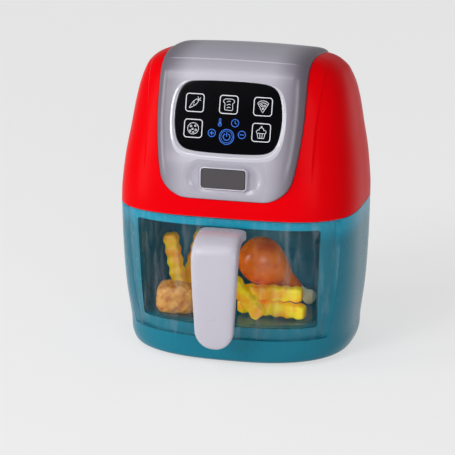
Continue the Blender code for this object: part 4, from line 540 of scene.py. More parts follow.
# %% Fascia profile
PROFILE = [
    (-1.003, 0.1141), (-1.010, 0.1530), (-1.010, 0.1964), (-1.002, 0.2662), (-0.978, 0.3360),
    (-0.943, 0.4048), (-0.910, 0.4742), (-0.832, 0.6379), (-0.753, 0.8016), (-0.720, 0.8710),
    (-0.687, 0.9182), (-0.627, 0.9593), (-0.540, 0.9890), (-0.400, 1.0100), (-0.200, 1.0199),
    (0.000, 1.0179), (0.200, 1.0040), (0.400, 0.9801), (0.550, 0.9541), (0.667, 0.9256),
]
FASCIA_HALF = 0.0490
FASCIA_FOOT_HALF = 0.0405
FULL_WIDTH_HEIGHT = 0.1750
CORNER = 0.0150
ROUND = 0.0085
CROWN = 0.0015
FASCIA_WALL = 0.0026
SINK = 0.0003
GAP = 0.0003
RAY_START = 0.02


def catmull(controls, steps):
    """A smooth curve through the control points."""
    ends = np.array([controls[0], *controls, controls[-1]], float)
    points = []
    for index in range(1, len(ends) - 2):
        before, start, end, after = ends[index - 1:index + 3]
        for t in np.arange(steps) / steps:
            points.append(0.5 * (
                2 * start + (end - before) * t + (2 * before - 5 * start + 4 * end - after) * t**2
                + (3 * start - before - 3 * end + after) * t**3
            ))
    points.append(ends[-1])
    return np.array(points)


PATH = catmull([(y * HALF_DEPTH + BODY_Y, UPPER_FOOT + z * UPPER_RISE) for y, z in PROFILE], 12)
PATH_LENGTH = np.concatenate([[0], np.cumsum(np.linalg.norm(np.diff(PATH, axis=0), axis=1))])
FASCIA_LENGTH = PATH_LENGTH[-1]
PATH_TANGENT = np.gradient(PATH, PATH_LENGTH, axis=0)


def along(distance):
    """Point and outward direction in the middle plane, at a distance from the foot of the fascia."""
    distance = min(max(distance, 0.0), FASCIA_LENGTH)
    place = [np.interp(distance, PATH_LENGTH, PATH[:, axis]) for axis in (0, 1)]
    run = Vector([np.interp(distance, PATH_LENGTH, PATH_TANGENT[:, axis]) for axis in (0, 1)]).normalized()
    return Vector((0, *place)), Vector((0, -run.y, run.x))


def distance_at(height):
    """The distance from the foot at which the climbing side of the profile reaches a height."""
    climb = PATH[: int(np.argmax(PATH[:, 1])) + 1]
    return float(np.interp(height, climb[:, 1], PATH_LENGTH[: len(climb)]))


def fascia_half(distance, grow=0.0):
    """Half the width of the fascia, narrow at its foot, with round corners at both ends."""
    place = along(distance)[0]
    foot = PATH[0, 1]
    share = min(max((place.z - foot) / (FULL_WIDTH_HEIGHT - foot), 0.0), 1.0)
    width = FASCIA_FOOT_HALF + (FASCIA_HALF - FASCIA_FOOT_HALF) * share * (2 - share) + grow
    corner = CORNER + grow
    end = min(distance + grow, FASCIA_LENGTH + grow - distance)
    if end < corner:
        width += math.sqrt(max(corner**2 - (corner - end) ** 2, 0.0)) - corner
    return width


def edge_reach(x, distance):
    """How far inside its rounded outline a point of the fascia lies."""
    half = fascia_half(distance)
    end = min(distance, FASCIA_LENGTH - distance)
    if end < CORNER:
        centre = half - math.sqrt(CORNER**2 - (CORNER - end) ** 2)
        if abs(x) > centre:
            return max(CORNER - math.hypot(abs(x) - centre, CORNER - end), 0.0)
        return end
    return max(min(half - abs(x), end), 0.0)


def dome_under(x, distance):
    """Depth of the dome under the crest line of the fascia."""
    place, out = along(distance)
    start = place + Vector((x, 0, 0)) + out * RAY_START
    return DOME_TREE.ray_cast(start, -out)[3] - RAY_START


def fascia_depth(x, distance):
    """Depth under the profile: a slight crown, then the quarter round down to the dome."""
    crown = CROWN * (x / FASCIA_HALF) ** 2
    inside = 1 - min(edge_reach(x, distance) / ROUND, 1)
    fall = 1 - math.sqrt(1 - inside**2)
    if fall == 0:
        return crown
    return crown + (dome_under(x, distance) + SINK - crown) * fall


PANEL_DISTANCE = distance_at(UPPER_FOOT + 0.63788 * UPPER_RISE)
WINDOW_DISTANCE = distance_at(UPPER_FOOT + 0.2609 * UPPER_RISE)
print("fascia length:", round(FASCIA_LENGTH, 4), "m, panel at", round(PANEL_DISTANCE, 4), "m")

# %% [markdown]
# The surface of the fascia is a grid in its own outline: rows climb the profile and columns fill its width.
# Both crowd towards the edge, where the quarter round needs them.
# A fine ridge marks where the front turns over to the top.

# %% Fascia surface
BEND, BEND_WIDTH, BEND_RISE = 0.0934, 0.0011, 0.00050


def crowded(count, crowd):
    """Shares from 0 to 1 that crowd towards both ends."""
    even = np.linspace(0, 1, count + 1)
    return even * (1 - crowd) + crowd * (1 - np.cos(even * math.pi)) / 2


def bend_line(distance):
    """A fine ridge across the fascia where its front turns over to the top."""
    away = abs(distance - BEND) / BEND_WIDTH
    return BEND_RISE * (1 - min(away, 1.0)) ** 2


def fascia_points(rows, columns, skirt):
    """Rows of points across the fascia, with a skirt turned down all round."""
    grid = []
    near = BEND + np.linspace(-1, 1, 9) * BEND_WIDTH
    spread = crowded(rows, 0.45) * FASCIA_LENGTH
    spread = spread[np.abs(spread - BEND) > BEND_WIDTH + 0.0002]
    for distance in np.sort(np.concatenate([spread, near])):
        half = fascia_half(distance)
        place, out = along(distance)
        row = []
        for share in crowded(columns, 0.75):
            x = half * (2 * share - 1)
            ridge = bend_line(distance) * min(edge_reach(x, distance) / ROUND, 1.0)
            depth = fascia_depth(x, distance) - ridge
            row.append(place + Vector((x, 0, 0)) - out * depth)
        row = [row[0] - out * skirt] + row + [row[-1] - out * skirt]
        grid.append(row)
    borders = []
    for row, distance in ((grid[0], 0.0), (grid[-1], FASCIA_LENGTH)):
        out = along(distance)[1]
        border = [point - out * skirt for point in row[1:-1]]
        borders.append([border[0]] + border + [border[-1]])
    return [borders[0], *grid, borders[1]]


fascia = tube("control_fascia_shell", fascia_points(260, 130, 0.003), caps=False)
print("fascia points:", len(fascia.data.vertices))

# %% [markdown]
# The push panel and the display sit in the fascia, so both need a flat frame on it.
# The barrel outline of the panel has bowed sides and round corners.
# It can be grown for the parts round it.

# %% Frames and outlines on the fascia
PANEL_HALF_WIDTH, PANEL_HALF_HEIGHT = 0.0354, 0.0228
SIDE_BOW, END_BOW, HEAD_RISE = 0.0050, 0.0016, 0.0005


def frame_at(distance, tilt=None, lift=0.0):
    """X across, Y up the fascia and Z out of it."""
    place, out = along(distance)
    if tilt is None:
        tilt = math.atan2(out.z, -out.y)
    return Matrix.Translation(place + out * lift) @ Matrix.Rotation(math.pi / 2 - tilt, 4, "X")


def barrel(grow_side=0.0, grow_foot=0.0, grow_head=0.0):
    """The outline of the panel, evenly pointed; each side can grow by its own amount."""
    angles = np.linspace(0, 2 * math.pi, 4000)
    x = power(np.cos(angles), 2 / 9)
    y = power(np.sin(angles), 2 / 7)
    x = x * (PANEL_HALF_WIDTH - SIDE_BOW * (y * 0.93) ** 2)
    y = y * (PANEL_HALF_HEIGHT - END_BOW * (x / PANEL_HALF_WIDTH) ** 2)
    x = x * (1 + grow_side / PANEL_HALF_WIDTH)
    head = 1 + (grow_head + HEAD_RISE) / PANEL_HALF_HEIGHT
    y = np.where(y > 0, y * head, y * (1 + grow_foot / PANEL_HALF_HEIGHT))
    length = np.concatenate([[0], np.cumsum(np.hypot(np.diff(x), np.diff(y)))])
    even = np.linspace(0, length[-1], 161)
    return np.stack([np.interp(even, length, x), np.interp(even, length, y)], axis=1)


def rounded_rectangle(half_width, half_height, corner):
    """A closed outline with six short steps round each corner."""
    outline = []
    for index, (sx, sy) in enumerate([(1, 1), (-1, 1), (-1, -1), (1, -1)]):
        for angle in (math.pi / 2 * (index + step / 6) for step in range(7)):
            outline.append((
                sx * (half_width - corner) + corner * math.cos(angle),
                sy * (half_height - corner) + corner * math.sin(angle),
            ))
    return np.array(outline + outline[:1])


def stack(name, rings, place, caps=True):
    """A surface through closed outlines, given as (outline, height or heights), in a frame."""
    rows = []
    for outline, height in rings:
        heights = np.broadcast_to(height, len(outline))
        rows.append([place @ Vector((x, y, z)) for (x, y), z in zip(outline, heights)])
    return tube(name, rows, caps)


PANEL_FRAME = frame_at(PANEL_DISTANCE)
WINDOW_FRAME = frame_at(WINDOW_DISTANCE, math.radians(4.0), 0.0013)
print("panel faces", [round(part, 3) for part in PANEL_FRAME.col[2][:3]])

# %% [markdown]
# The opening for the panel has a broad bevelled surround with a low bead that catches the light.
# It is narrow at its head, a few millimetres wide at the sides and widest at the foot.
# It is made as its own ring with rounded edges and set flush into a matching hole, because a rounded edge
# can't be cut into a grid that runs another way.

# %% Panel surround
SURROUND = (0.0030, 0.0052, 0.0005)
SURROUND_DEPTH, SURROUND_FOOT = 0.0014, 0.0034
BEAD = 0.00055
# How far in, how much of the bead, how far down the bevel
SURROUND_STEPS = [
    (-0.05, -0.05, 0.0), (0.0, 0.05, 0.0), (0.10, 0.28, 0.0), (0.20, 0.53, 0.0), (0.30, 0.78, 0.0),
    (0.38, 0.95, 0.0), (0.44, 1.00, 0.02), (0.50, 0.93, 0.06), (0.58, 0.70, 0.16), (0.68, 0.35, 0.38),
    (0.80, 0.08, 0.68), (0.90, 0.0, 0.90), (0.96, 0.0, 1.0),
]


def crest(outline):
    """Heights of the fascia's surface over an outline in the panel's frame."""
    return -CROWN * (outline[:, 0] / FASCIA_HALF) ** 2


def make_surround():
    """Rings from the outer edge inwards: over a low bead, then down the bevel to the panel."""
    rings = []
    outer = barrel(*SURROUND)
    inner = barrel(GAP, GAP, GAP)
    spread = np.linalg.norm(outer - inner, axis=1)
    beside = np.abs(outer[:, 0] / outer[:, 0].max()) ** 4
    bead = BEAD * (beside + 0.4 * (1 - beside)) * (spread / spread.max()).clip(0, 1)
    bead[outer[:, 1] > 0.8 * outer[:, 1].max()] *= 0.3
    for share, rise, fall in SURROUND_STEPS:
        outline = outer + (inner - outer) * share
        rings.append((outline, crest(outline) * (1 - fall) - SURROUND_DEPTH * fall + bead * rise))
    rings.append((inner, -SURROUND_DEPTH - 0.00035))
    rings.append((inner, -SURROUND_FOOT))
    obj = stack("panel_surround", rings, PANEL_FRAME, caps=False)
    return thicken(obj, 0.0008, even=False)


hole = stack("panel_hole", [(barrel(*SURROUND), -0.012), (barrel(*SURROUND), 0.006)], PANEL_FRAME)
thicken(fascia, FASCIA_WALL)
boolean(fascia, hole)
surround = hand_over(make_surround(), EDGE_WITH_PAINTED_HIGHLIGHT, "housing")
print("surround:", len(surround.data.vertices), "points")

# %% [markdown]
# The display lens sits in a raised rim with a bright rounded edge, in the middle of a scooped oblong dish.
# The rim is a ring of outlines that climbs out of the dish, turns over and drops into the window.
# The dish is pressed into both skins of the fascia after it has been cut, so its wall stays even
# and the cuts never meet a folded surface.
# The fascia's turned-down edge carries painted shade, darker than its face, and the dish has more polish.

# %% Window rim and dish
DISH_RADIUS, DISH_STRAIGHT, DISH_DEEP, DISH_WALL = 0.0116, 0.0146, 0.0017, 0.0054
LENS_HALF_X, LENS_HALF_Y, LENS_CORNER = 0.0145, 0.0061, 0.0016
# How far outside the lens, how high, and the corner's radius
RIM_STEPS = [
    (0.0014, -0.0042, 0.0030), (0.0013, -0.0012, 0.0029), (0.0011, -0.0004, 0.0027),
    (0.0009, -0.00008, 0.0025), (0.0007, 0.0, 0.0023), (0.0005, -0.00008, 0.0021),
    (0.0004, -0.0003, 0.0020), (GAP, -0.0009, 0.0018), (GAP, -0.0024, 0.0018),
]
LENS_STEPS = [(0.0, -0.0019), (0.0, -0.0007), (0.00008, -0.00056), (0.00025, -0.0005), (0.0007, -0.0005)]


def dish_depth(x, y):
    """An oblong dish with round ends and an equally wide, soft wall all round."""
    inside = DISH_RADIUS - math.hypot(max(abs(x) - DISH_STRAIGHT, 0.0), y)
    share = min(max(inside / DISH_WALL, 0.0), 1.0)
    return DISH_DEEP * share * share * (3 - 2 * share)


def press_dish(obj):
    """Move both skins of the fascia inwards by the depth of the dish."""
    place = frame_at(WINDOW_DISTANCE)
    out = place.col[2].xyz
    for vert in obj.data.vertices:
        x, y, height = place.inverted() @ vert.co
        if abs(height) < 0.006:
            vert.co -= out * dish_depth(x, y)


def window_outline(grow, corner):
    return rounded_rectangle(LENS_HALF_X + grow, LENS_HALF_Y + grow, corner)


def make_window_rim():
    rings = [(window_outline(grow, corner), height) for grow, height, corner in RIM_STEPS]
    return stack("window_rim", rings, WINDOW_FRAME, caps=False)


def make_lens():
    rings = [(window_outline(-inset, LENS_CORNER - inset), height) for inset, height in LENS_STEPS]
    return stack("window_lens", rings, WINDOW_FRAME)


# Painted shade: the grey darkens towards both sides of the fascia, where its edge turns down away from the
# light.
beside = GREY.coordinate("X")
edge = beside.math("ABSOLUTE", beside, 0.0).ramp(0.025, 0.048) * 0.95
GREY.set("Base Color", GREY.mix(edge, tone(170, 167, 179), tone(96, 88, 100)))
around = {0: GREY.place(), 1: WINDOW_FRAME.translation}
away = Value(GREY, GREY.node("VectorMath", {"operation": "DISTANCE"}, around).outputs["Value"])
GREY.set("Roughness", GREY.noise(0.012, 4.0) * 0.05 + away.ramp(0.023, 0.030) * 0.12 + 0.155)

outline = window_outline(0.0009, 0.0025)
boolean(fascia, stack("window_opening", [(outline, -0.010), (outline, 0.010)], WINDOW_FRAME))
press_dish(fascia)
hand_over(fascia, GREY, "housing", "control_fascia")
rim = hand_over(make_window_rim(), EDGE_WITH_PAINTED_HIGHLIGHT, "housing")
hand_over(make_lens(), LENS, "housing", "display_window")
print("fascia faces:", len(fascia.data.polygons), "rim points:", len(rim.data.vertices))

# %% [markdown]
# The dome is opened under the fascia, with a hair of clearance,
# and behind for the battery door and the speaker.
# The door is cut from the same surface, so its curve runs on without a step.

# %% Dome openings and battery door
DOME_WALL, DOOR_WALL = 0.0022, 0.0018
DOOR_LOW, DOOR_HIGH = (-0.03065, 0.0565, 0.10805), (0.03065, 0.14, 0.14855)
DOOR_SCREW_Z = 0.14625
GRIP_FOOT, GRIP_STEP, GRIP_WIDTH = 0.11285, 0.0032, 0.0016
SPEAKER_Z, HOLE_STEP, HOLE_RADIUS = 0.1675, 0.0052, 0.0012


def fascia_band(grow):
    """A thick band over the outline of the fascia."""
    rows = []
    spread = crowded(60, 0.6) * FASCIA_LENGTH
    for distance in [-grow, *spread, FASCIA_LENGTH + grow]:
        place, out = along(distance)
        beyond = distance - min(max(distance, 0.0), FASCIA_LENGTH)
        run = Vector((0, out.z, -out.y))
        half = Vector((fascia_half(distance, grow), 0, 0))
        inward = dome_under(half.x, distance) + 2 * DOME_WALL
        high, low = place + run * beyond + out * 0.01, place + run * beyond - out * inward
        rows.append([high - half, high + half, low + half, low - half, high - half])
    return tube("fascia_band", rows)


def add_cylinder(bm, radius, low, high, place, sides):
    place = place @ Matrix.Translation((0, 0, (low + high) / 2))
    size = {"radius1": radius, "radius2": radius, "depth": high - low}
    bmesh.ops.create_cone(bm, cap_ends=True, segments=sides, matrix=place, **size)


def cylinder(name, radius, low, high, place):
    """A round bar along Z of a frame."""
    bm = bmesh.new()
    add_cylinder(bm, radius, low, high, place, 24)
    return to_object(name, bm)


def facing_back(x, z):
    """A frame on the back of the toy whose Z points backwards."""
    return Matrix.Translation((x, BODY_Y, z)) @ Matrix.Rotation(-math.pi / 2, 4, "X")


door = tube("battery_door_shell", close_top(upper_points()), caps=False)
thicken(door, DOOR_WALL)
inset = Vector((GAP, 0, GAP))
boolean(door, box("door_box", Vector(DOOR_LOW) + inset, Vector(DOOR_HIGH) - inset), "INTERSECT")
boolean(door, cylinder("door_hole", 0.0014, 0.03, 0.12, facing_back(0, DOOR_SCREW_Z)))
for index in range(3):
    z = GRIP_FOOT + GRIP_STEP * index
    boolean(door, box("grip", (-0.009, BODY_Y + 0.0580, z), (0.009, 0.14, z + GRIP_WIDTH)))
hand_over(soften(door, 0.0003), RED, "housing", "battery_door")

thicken(dome, DOME_WALL)
boolean(dome, fascia_band(GAP))
boolean(dome, box("door_box", DOOR_LOW, DOOR_HIGH))
holes = [(0.0, 0.0)]
for count in (1, 2):
    for index in range(6 * count):
        turn = 2 * math.pi * index / (6 * count)
        holes.append((count * HOLE_STEP * math.cos(turn), count * HOLE_STEP * math.sin(turn)))
bm = bmesh.new()
for x, z in holes:
    add_cylinder(bm, HOLE_RADIUS, 0.045, 0.115, facing_back(x, SPEAKER_Z + z), 16)
boolean(dome, to_object("sound_holes", bm))
hand_over(dome, RED, "housing", "upper_housing", angle=30)
print("dome faces:", len(dome.data.polygons), "door faces:", len(door.data.polygons))

# %% [markdown]
# The teal tub bulges at its base and carries a shallow step that the clear drawer front sits in.
# It is a solid stack of rings, hollowed by an inner stack, stepped by a ring-shaped cut
# and pierced for the drawer, the long screws and the feet.

# %% Teal tub
TUB_WALL, FRAME_SETBACK = 0.003, 0.0056
STEP_FOOT = 0.0184
PLATE_END_Y = BODY_Y - 0.0400
MOUTH_FOOT, MOUTH_HEAD = 0.0260, 0.0934
MOUTH_HALF_FOOT, MOUTH_HALF_HEAD = 0.0590, 0.0616
WELL_X, WELL_Y = 0.036, 0.061
FOOT_X, FOOT_Y = 0.044, 0.033


def lower_stack(name, foot, head, side=0.0, front=0.0, back=0.0):
    """A solid between two heights whose rings follow the tub, drawn in by a distance on each side."""
    levels = BASE + LOWER_DENSE[:, 0] * (LOWER_TOP - BASE)
    between = [level for level in levels if foot + 0.0002 < level < min(head, LOWER_TOP) - 0.0002]
    levels = [foot, *between, head]
    rows = [lower_ring(ANGLES, level, side, front, back) for level in levels]
    return tube(name, rows)


def mouth_outline():
    """The opening for the drawer, a little wider at its head than at its foot."""
    half = (MOUTH_HEAD - MOUTH_FOOT) / 2
    outline = rounded_rectangle(MOUTH_HALF_HEAD, half, 0.0020)
    share = (outline[:, 1] / half + 1) / 2
    outline[:, 0] *= (MOUTH_HALF_FOOT + (MOUTH_HALF_HEAD - MOUTH_HALF_FOOT) * share) / MOUTH_HALF_HEAD
    return outline


def make_tub():
    tub = lower_stack("tub_shell", BASE, LOWER_TOP)
    boolean(tub, lower_stack("cavity", BASE + TUB_WALL, 0.12, TUB_WALL, FRAME_SETBACK, TUB_WALL))
    step = box("step", (-0.1, -0.1, STEP_FOOT), (0.1, PLATE_END_Y, 0.12))
    boolean(step, lower_stack("core", BASE, 0.14, TUB_WALL, TUB_WALL, TUB_WALL))
    boolean(tub, step)
    middle = Matrix.Translation((0, BODY_Y, (MOUTH_FOOT + MOUTH_HEAD) / 2))
    turn = middle @ Matrix.Rotation(math.pi / 2, 4, "X")
    boolean(tub, stack("mouth", [(mouth_outline(), 0.035), (mouth_outline(), 0.08)], turn))
    for sx in (-1, 1):
        spot = Matrix.Translation((sx * WELL_X, WELL_Y, 0))
        boolean(tub, cylinder("screw_well", 0.0031, -0.02, 0.0867, spot))
    for sx in (-1, 1):
        for sy in (-1, 1):
            spot = Matrix.Translation((sx * FOOT_X, BODY_Y + sy * FOOT_Y, 0))
            boolean(tub, cylinder("foot_recess", 0.0063, -0.02, 0.0018, spot))
    return tub


tub = hand_over(soften(make_tub(), 0.0003), TEAL, "housing", "lower_housing", angle=30)
print("tub faces:", len(tub.data.polygons))

# %% [markdown]
# The drawer is one clear moulding: a front that wraps the whole face of the tub, and an open box behind it.
# The front follows the tub's own curve, ends in rounded corners on each side and has an even wall.

# %% Clear drawer
PLATE_BASE, PLATE_TOP = 0.0187, 0.0995
PLATE_WALL, PLATE_CORNER = 0.0024, 0.005
# Half width at the top and at the foot, foot, top, reach to the back, radius of the rear corners
TRAY_OUTSIDE = (0.0609, 0.0583, 0.0270, 0.0880, 0.0395, 0.0070)
TRAY_INSIDE = (0.0589, 0.0563, 0.0290, 0.1080, 0.0375, 0.0050)


def plate_end_angle(height, y_end):
    """The angle on the ring at which its left and right points reach a given depth."""
    fine = np.linspace(-math.pi / 2, 0, 3000)
    points = lower_ring(fine, height)
    return float(np.interp(y_end, points[:, 1], fine))


def make_plate():
    """The curved front. Rows near its head and foot are shorter, which rounds the corners."""
    rows = []
    for share in crowded(60, 0.6):
        height = PLATE_BASE + (PLATE_TOP - PLATE_BASE) * share
        reach = min(height - PLATE_BASE, PLATE_TOP - height, PLATE_CORNER)
        back = PLATE_CORNER - math.sqrt(max(PLATE_CORNER**2 - (PLATE_CORNER - reach) ** 2, 0.0))
        end = plate_end_angle(height, PLATE_END_Y - GAP - back)
        fine = np.linspace(-math.pi - end, end, 3000)
        curve = lower_ring(fine, height)
        length = np.concatenate([[0], np.cumsum(np.linalg.norm(np.diff(curve, axis=0), axis=1))])
        even = np.linspace(0, length[-1], 161)
        rows.append(np.stack([np.interp(even, length, curve[:, axis]) for axis in range(3)], axis=1))
    return thicken(surface("drawer_shell", np.array(rows)), PLATE_WALL)


def tray_stack(name, top_half, foot_half, foot, top, back, corner):
    """A block with an open run to the front and two round corners behind, narrower at its foot."""
    rows = []
    front = -0.12
    for half, height in ((foot_half, foot), (top_half, top)):
        outline = [(-half, front), (half, front)]
        for side, start in ((1, 0.0), (-1, math.pi / 2)):
            for angle in np.linspace(start, start + math.pi / 2, 9):
                x = side * (half - corner) + corner * math.cos(angle)
                outline.append((x, BODY_Y + back - corner + corner * math.sin(angle)))
        outline.append(outline[0])
        rows.append([(x, y, height) for x, y in outline])
    return tube(name, rows)


def make_drawer():
    tray = tray_stack("tray", *TRAY_OUTSIDE)
    boolean(tray, tray_stack("tray_hollow", *TRAY_INSIDE))
    for x in (-0.040, 0.040):
        boolean(tray, box("runner", (x - 0.0012, -0.1, 0.0263), (x + 0.0012, 0.046, 0.0280)), "UNION")
    boolean(tray, lower_stack("trim", BASE, 0.12, 0.0012, 0.0012, 0.0), "INTERSECT")
    plate = make_plate()
    boolean(plate, tray, "UNION")
    for x in (-0.008, 0.008):
        turn = Matrix.Translation((x, 0, 0.090)) @ Matrix.Rotation(math.pi / 2, 4, "X")
        boolean(plate, cylinder("screw_hole", 0.0017, 0.02, 0.08, turn))
    return plate


drawer = hand_over(soften(make_drawer(), 0.0004), CLEAR, "drawer", "food_drawer", angle=30)
print("drawer faces:", len(drawer.data.polygons))

# %% [markdown]
# The handle is a short arm that turns down into a long flat tongue with a round end.
# Its cross-sections are soft rectangles; a smooth curve through the stations gives the bend.

# %% Drawer handle
# Outer point (forwards, up), inner point (forwards, up) and width, as shares of the handle's own sizes
STATIONS = [
    (0.000, 0.996, 0.000, 0.887, 1.000), (0.150, 1.000, 0.080, 0.886, 0.985),
    (0.444, 0.995, 0.240, 0.876, 0.955), (0.640, 0.976, 0.420, 0.848, 0.965),
    (0.810, 0.936, 0.560, 0.800, 0.985), (0.925, 0.875, 0.635, 0.735, 1.000),
    (0.985, 0.790, 0.672, 0.655, 0.990), (1.000, 0.680, 0.685, 0.560, 0.970),
    (1.000, 0.400, 0.700, 0.370, 0.900), (0.985, 0.172, 0.712, 0.172, 0.840),
]
HANDLE_FOOT, HANDLE_HEIGHT = 0.0186, 0.0754
HANDLE_REACH, HANDLE_HALF_WIDTH = 0.0267, 0.0153
HANDLE_FRONT = BODY_Y - 0.0603


def handle_point(forwards, up):
    return Vector((0, HANDLE_FRONT - forwards * HANDLE_REACH, HANDLE_FOOT + up * HANDLE_HEIGHT))


def make_handle():
    """Soft rectangles through the stations, then a half circle that closes the tongue."""
    angles = np.linspace(0, 2 * math.pi, 57)
    dense = smooth_rows(STATIONS, 0.0012, (HANDLE_REACH, HANDLE_HEIGHT, HANDLE_REACH, HANDLE_HEIGHT, 0))
    stations = [
        (handle_point(out_y, out_z), handle_point(in_y, in_z), width * HANDLE_HALF_WIDTH, 1.0)
        for out_y, out_z, in_y, in_z, width in dense
    ]
    outer, inner, radius, _ = stations[-1]
    end_outer, end_inner = handle_point(0.950, 0), handle_point(0.745, 0)
    for step in range(1, 19):
        turn = math.pi / 2 * min(step / 18, 0.985)
        share = min(radius * math.sin(turn) / (outer.z - HANDLE_FOOT), 1)
        thin = (1 - math.sin(turn) ** 6) ** (1 / 3)
        ends = outer.lerp(end_outer, share), inner.lerp(end_inner, share)
        stations.append((*ends, radius * math.cos(turn), thin))
    rows = []
    for outer, inner, half_width, thin in stations:
        centre, half = (outer + inner) / 2, (outer - inner) / 2 * thin
        across = half_width * power(np.cos(angles), 2 / 5)
        through = power(np.sin(angles), 2 / 5)
        rows.append([centre + Vector((x, 0, 0)) + half * y for x, y in zip(across, through)])
    return tube("handle_shell", rows)


handle = hand_over(make_handle(), PALE, "drawer", "drawer_handle", angle=50)
print("handle faces:", len(handle.data.polygons))

# %% [markdown]
# The push panel is a flat black plate with a barely domed face and a soft edge.
# Its print is a set of thin strokes: rounded frames with small pictures of food, and little blue symbols.
# Strokes are ribbons laid a few hundredths of a millimetre over the face, so they need no picture file.

# %% Push panel
PANEL_FACE, PANEL_BULGE = -0.0009, 0.00025


def panel_height(x, y):
    """The face of the panel over a point, in the panel's frame."""
    share = max(abs(x) / PANEL_HALF_WIDTH, abs(y) / PANEL_HALF_HEIGHT)
    return PANEL_FACE - PANEL_BULGE * min(share, 1.0) ** 2


def make_panel():
    """Rings up the soft edge and over the face, with a flange behind the fascia."""
    rings = []
    for share, drop in ((1.0, 0.0031), (1.0, 0.0004), (0.9985, 0.00016), (0.996, 0.00004), (0.992, 0.0)):
        rings.append((barrel() * share, PANEL_FACE - PANEL_BULGE - drop))
    for share in (0.986, 0.975, 0.9, 0.75, 0.5, 0.25, 0.05):
        outline = barrel() * share
        rings.append((outline, np.array([panel_height(x, y) for x, y in outline])))
    obj = stack("panel_plate", rings, PANEL_FRAME)
    grown = barrel(0.0015, 0.0015, 0.0015)
    return boolean(obj, stack("flange", [(grown, -0.0049), (grown, -0.00385)], PANEL_FRAME), "UNION")


panel = hand_over(make_panel(), BLACK, "button_panel", "push_panel", angle=50)
print("panel faces:", len(panel.data.polygons))

# %% [markdown]
# Two small coils push the panel back out.
# Each is one wire swept round a helix, from the board to the panel's back.
# The panel presses them together.

# %% Press springs
COIL_FOOT, COIL_LENGTH, COIL_TURNS = -0.0096, 0.0041, 4
COIL_RADIUS, COIL_WIRE, COIL_X = 0.0030, 0.0003, 0.0240


def coil(name, side):
    """A wire swept round a helix behind the panel."""
    place = PANEL_FRAME @ Matrix.Translation((side * COIL_X, 0, COIL_FOOT))
    rows = []
    for share in np.linspace(0, 1, COIL_TURNS * 16 + 1):
        turn = 2 * math.pi * COIL_TURNS * share
        outward = Vector((math.cos(turn), math.sin(turn), 0))
        middle = outward * COIL_RADIUS + Vector((0, 0, COIL_LENGTH * share))
        rows.append([
            place @ (middle + COIL_WIRE * (outward * math.cos(angle) + Vector((0, 0, math.sin(angle)))))
            for angle in np.linspace(0, 2 * math.pi, 9)
        ])
    return tube(name, rows)


for side, node in ((-1, "panel_spring_left"), (1, "panel_spring_right")):
    spring = hand_over(coil(node.replace("panel", "press"), side), STEEL, "housing", node, angle=60)
    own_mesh(spring)
print("springs:", COIL_TURNS, "turns,", len(spring.data.polygons), "faces each")

# %% [markdown]
# Each picture is a few strokes in a unit square: a slice of pizza, a cupcake, a carrot, toast and a cookie.
# Curved lines are drawn through a handful of points; circles and arcs come from one small function.
# The blue symbols under them are a switch, a minus, a plus, a clock and a thermometer.

# %% Panel print


def arc(x, y, radius, start=0, end=360, count=24):
    turn = np.radians(np.linspace(start, end, count + 1))
    return np.stack([x + radius * np.cos(turn), y + radius * np.sin(turn)], axis=1)


def line(*points):
    return np.array(points, float)


def curve(*points):
    return catmull(points, 6)


PIZZA = [
    curve((-0.85, 0.50), (-0.45, 0.80), (0.0, 0.88), (0.45, 0.80), (0.85, 0.50)),
    curve((-0.70, 0.28), (-0.35, 0.52), (0.0, 0.58), (0.35, 0.52), (0.70, 0.28)),
    line((-0.85, 0.50), (0.0, -0.90), (0.85, 0.50)), arc(-0.22, 0.18, 0.14), arc(0.24, 0.12, 0.14),
    arc(0.0, -0.28, 0.12),
]
CUPCAKE = [
    line((-0.62, -0.08), (-0.45, -0.85), (0.45, -0.85), (0.62, -0.08)),
    line((-0.20, -0.12), (-0.15, -0.82)), line((0.20, -0.12), (0.15, -0.82)),
    arc(-0.45, 0.10, 0.28, 60, 250), arc(0.45, 0.10, 0.28, -70, 120),
    arc(0.0, 0.38, 0.36, -15, 195), line((-0.62, -0.12), (0.62, -0.12)), arc(0.0, 0.84, 0.10),
]
CARROT = [
    curve((0.18, 0.52), (-0.25, 0.18), (-0.60, -0.35), (-0.85, -0.85)),
    curve((-0.85, -0.85), (-0.35, -0.60), (0.18, -0.25), (0.52, 0.18)),
    curve((0.18, 0.52), (0.42, 0.50), (0.52, 0.18)), curve((0.36, 0.38), (0.48, 0.70), (0.42, 0.92)),
    curve((0.36, 0.38), (0.68, 0.60), (0.88, 0.80)), curve((0.36, 0.38), (0.70, 0.42), (0.92, 0.38)),
    line((-0.22, 0.12), (-0.05, -0.02)), line((-0.10, -0.32), (-0.28, -0.18)),
]
TOAST = [
    curve(
        (-0.58, -0.80), (0.0, -0.84), (0.58, -0.80), (0.62, -0.30), (0.60, 0.12), (0.84, 0.42),
        (0.66, 0.78), (0.0, 0.86), (-0.66, 0.78), (-0.84, 0.42), (-0.60, 0.12), (-0.62, -0.30),
        (-0.58, -0.80),
    ),
    curve((-0.30, 0.35), (-0.05, 0.52), (0.25, 0.48)), curve((-0.32, -0.10), (0.0, 0.05), (0.30, -0.02)),
    curve((-0.28, -0.50), (0.02, -0.38), (0.28, -0.46)),
]
COOKIE = [
    arc(0, 0, 0.84, 0, 360, 36), arc(-0.35, 0.32, 0.13), arc(0.32, 0.40, 0.11), arc(0.42, -0.22, 0.14),
    arc(-0.08, -0.10, 0.11), arc(-0.42, -0.38, 0.12), arc(0.06, -0.58, 0.10),
]
PICTURES = [
    (-0.0226, 0.0085, CARROT), (0.0, 0.0085, TOAST), (0.0226, 0.0085, PIZZA),
    (-0.0226, -0.0081, COOKIE), (0.0226, -0.0081, CUPCAKE),
]
PICTURE_SIZE = 0.0043
FRAME_HALF_X, FRAME_HALF_Y, FRAME_CORNER = 0.00595, 0.00580, 0.0019


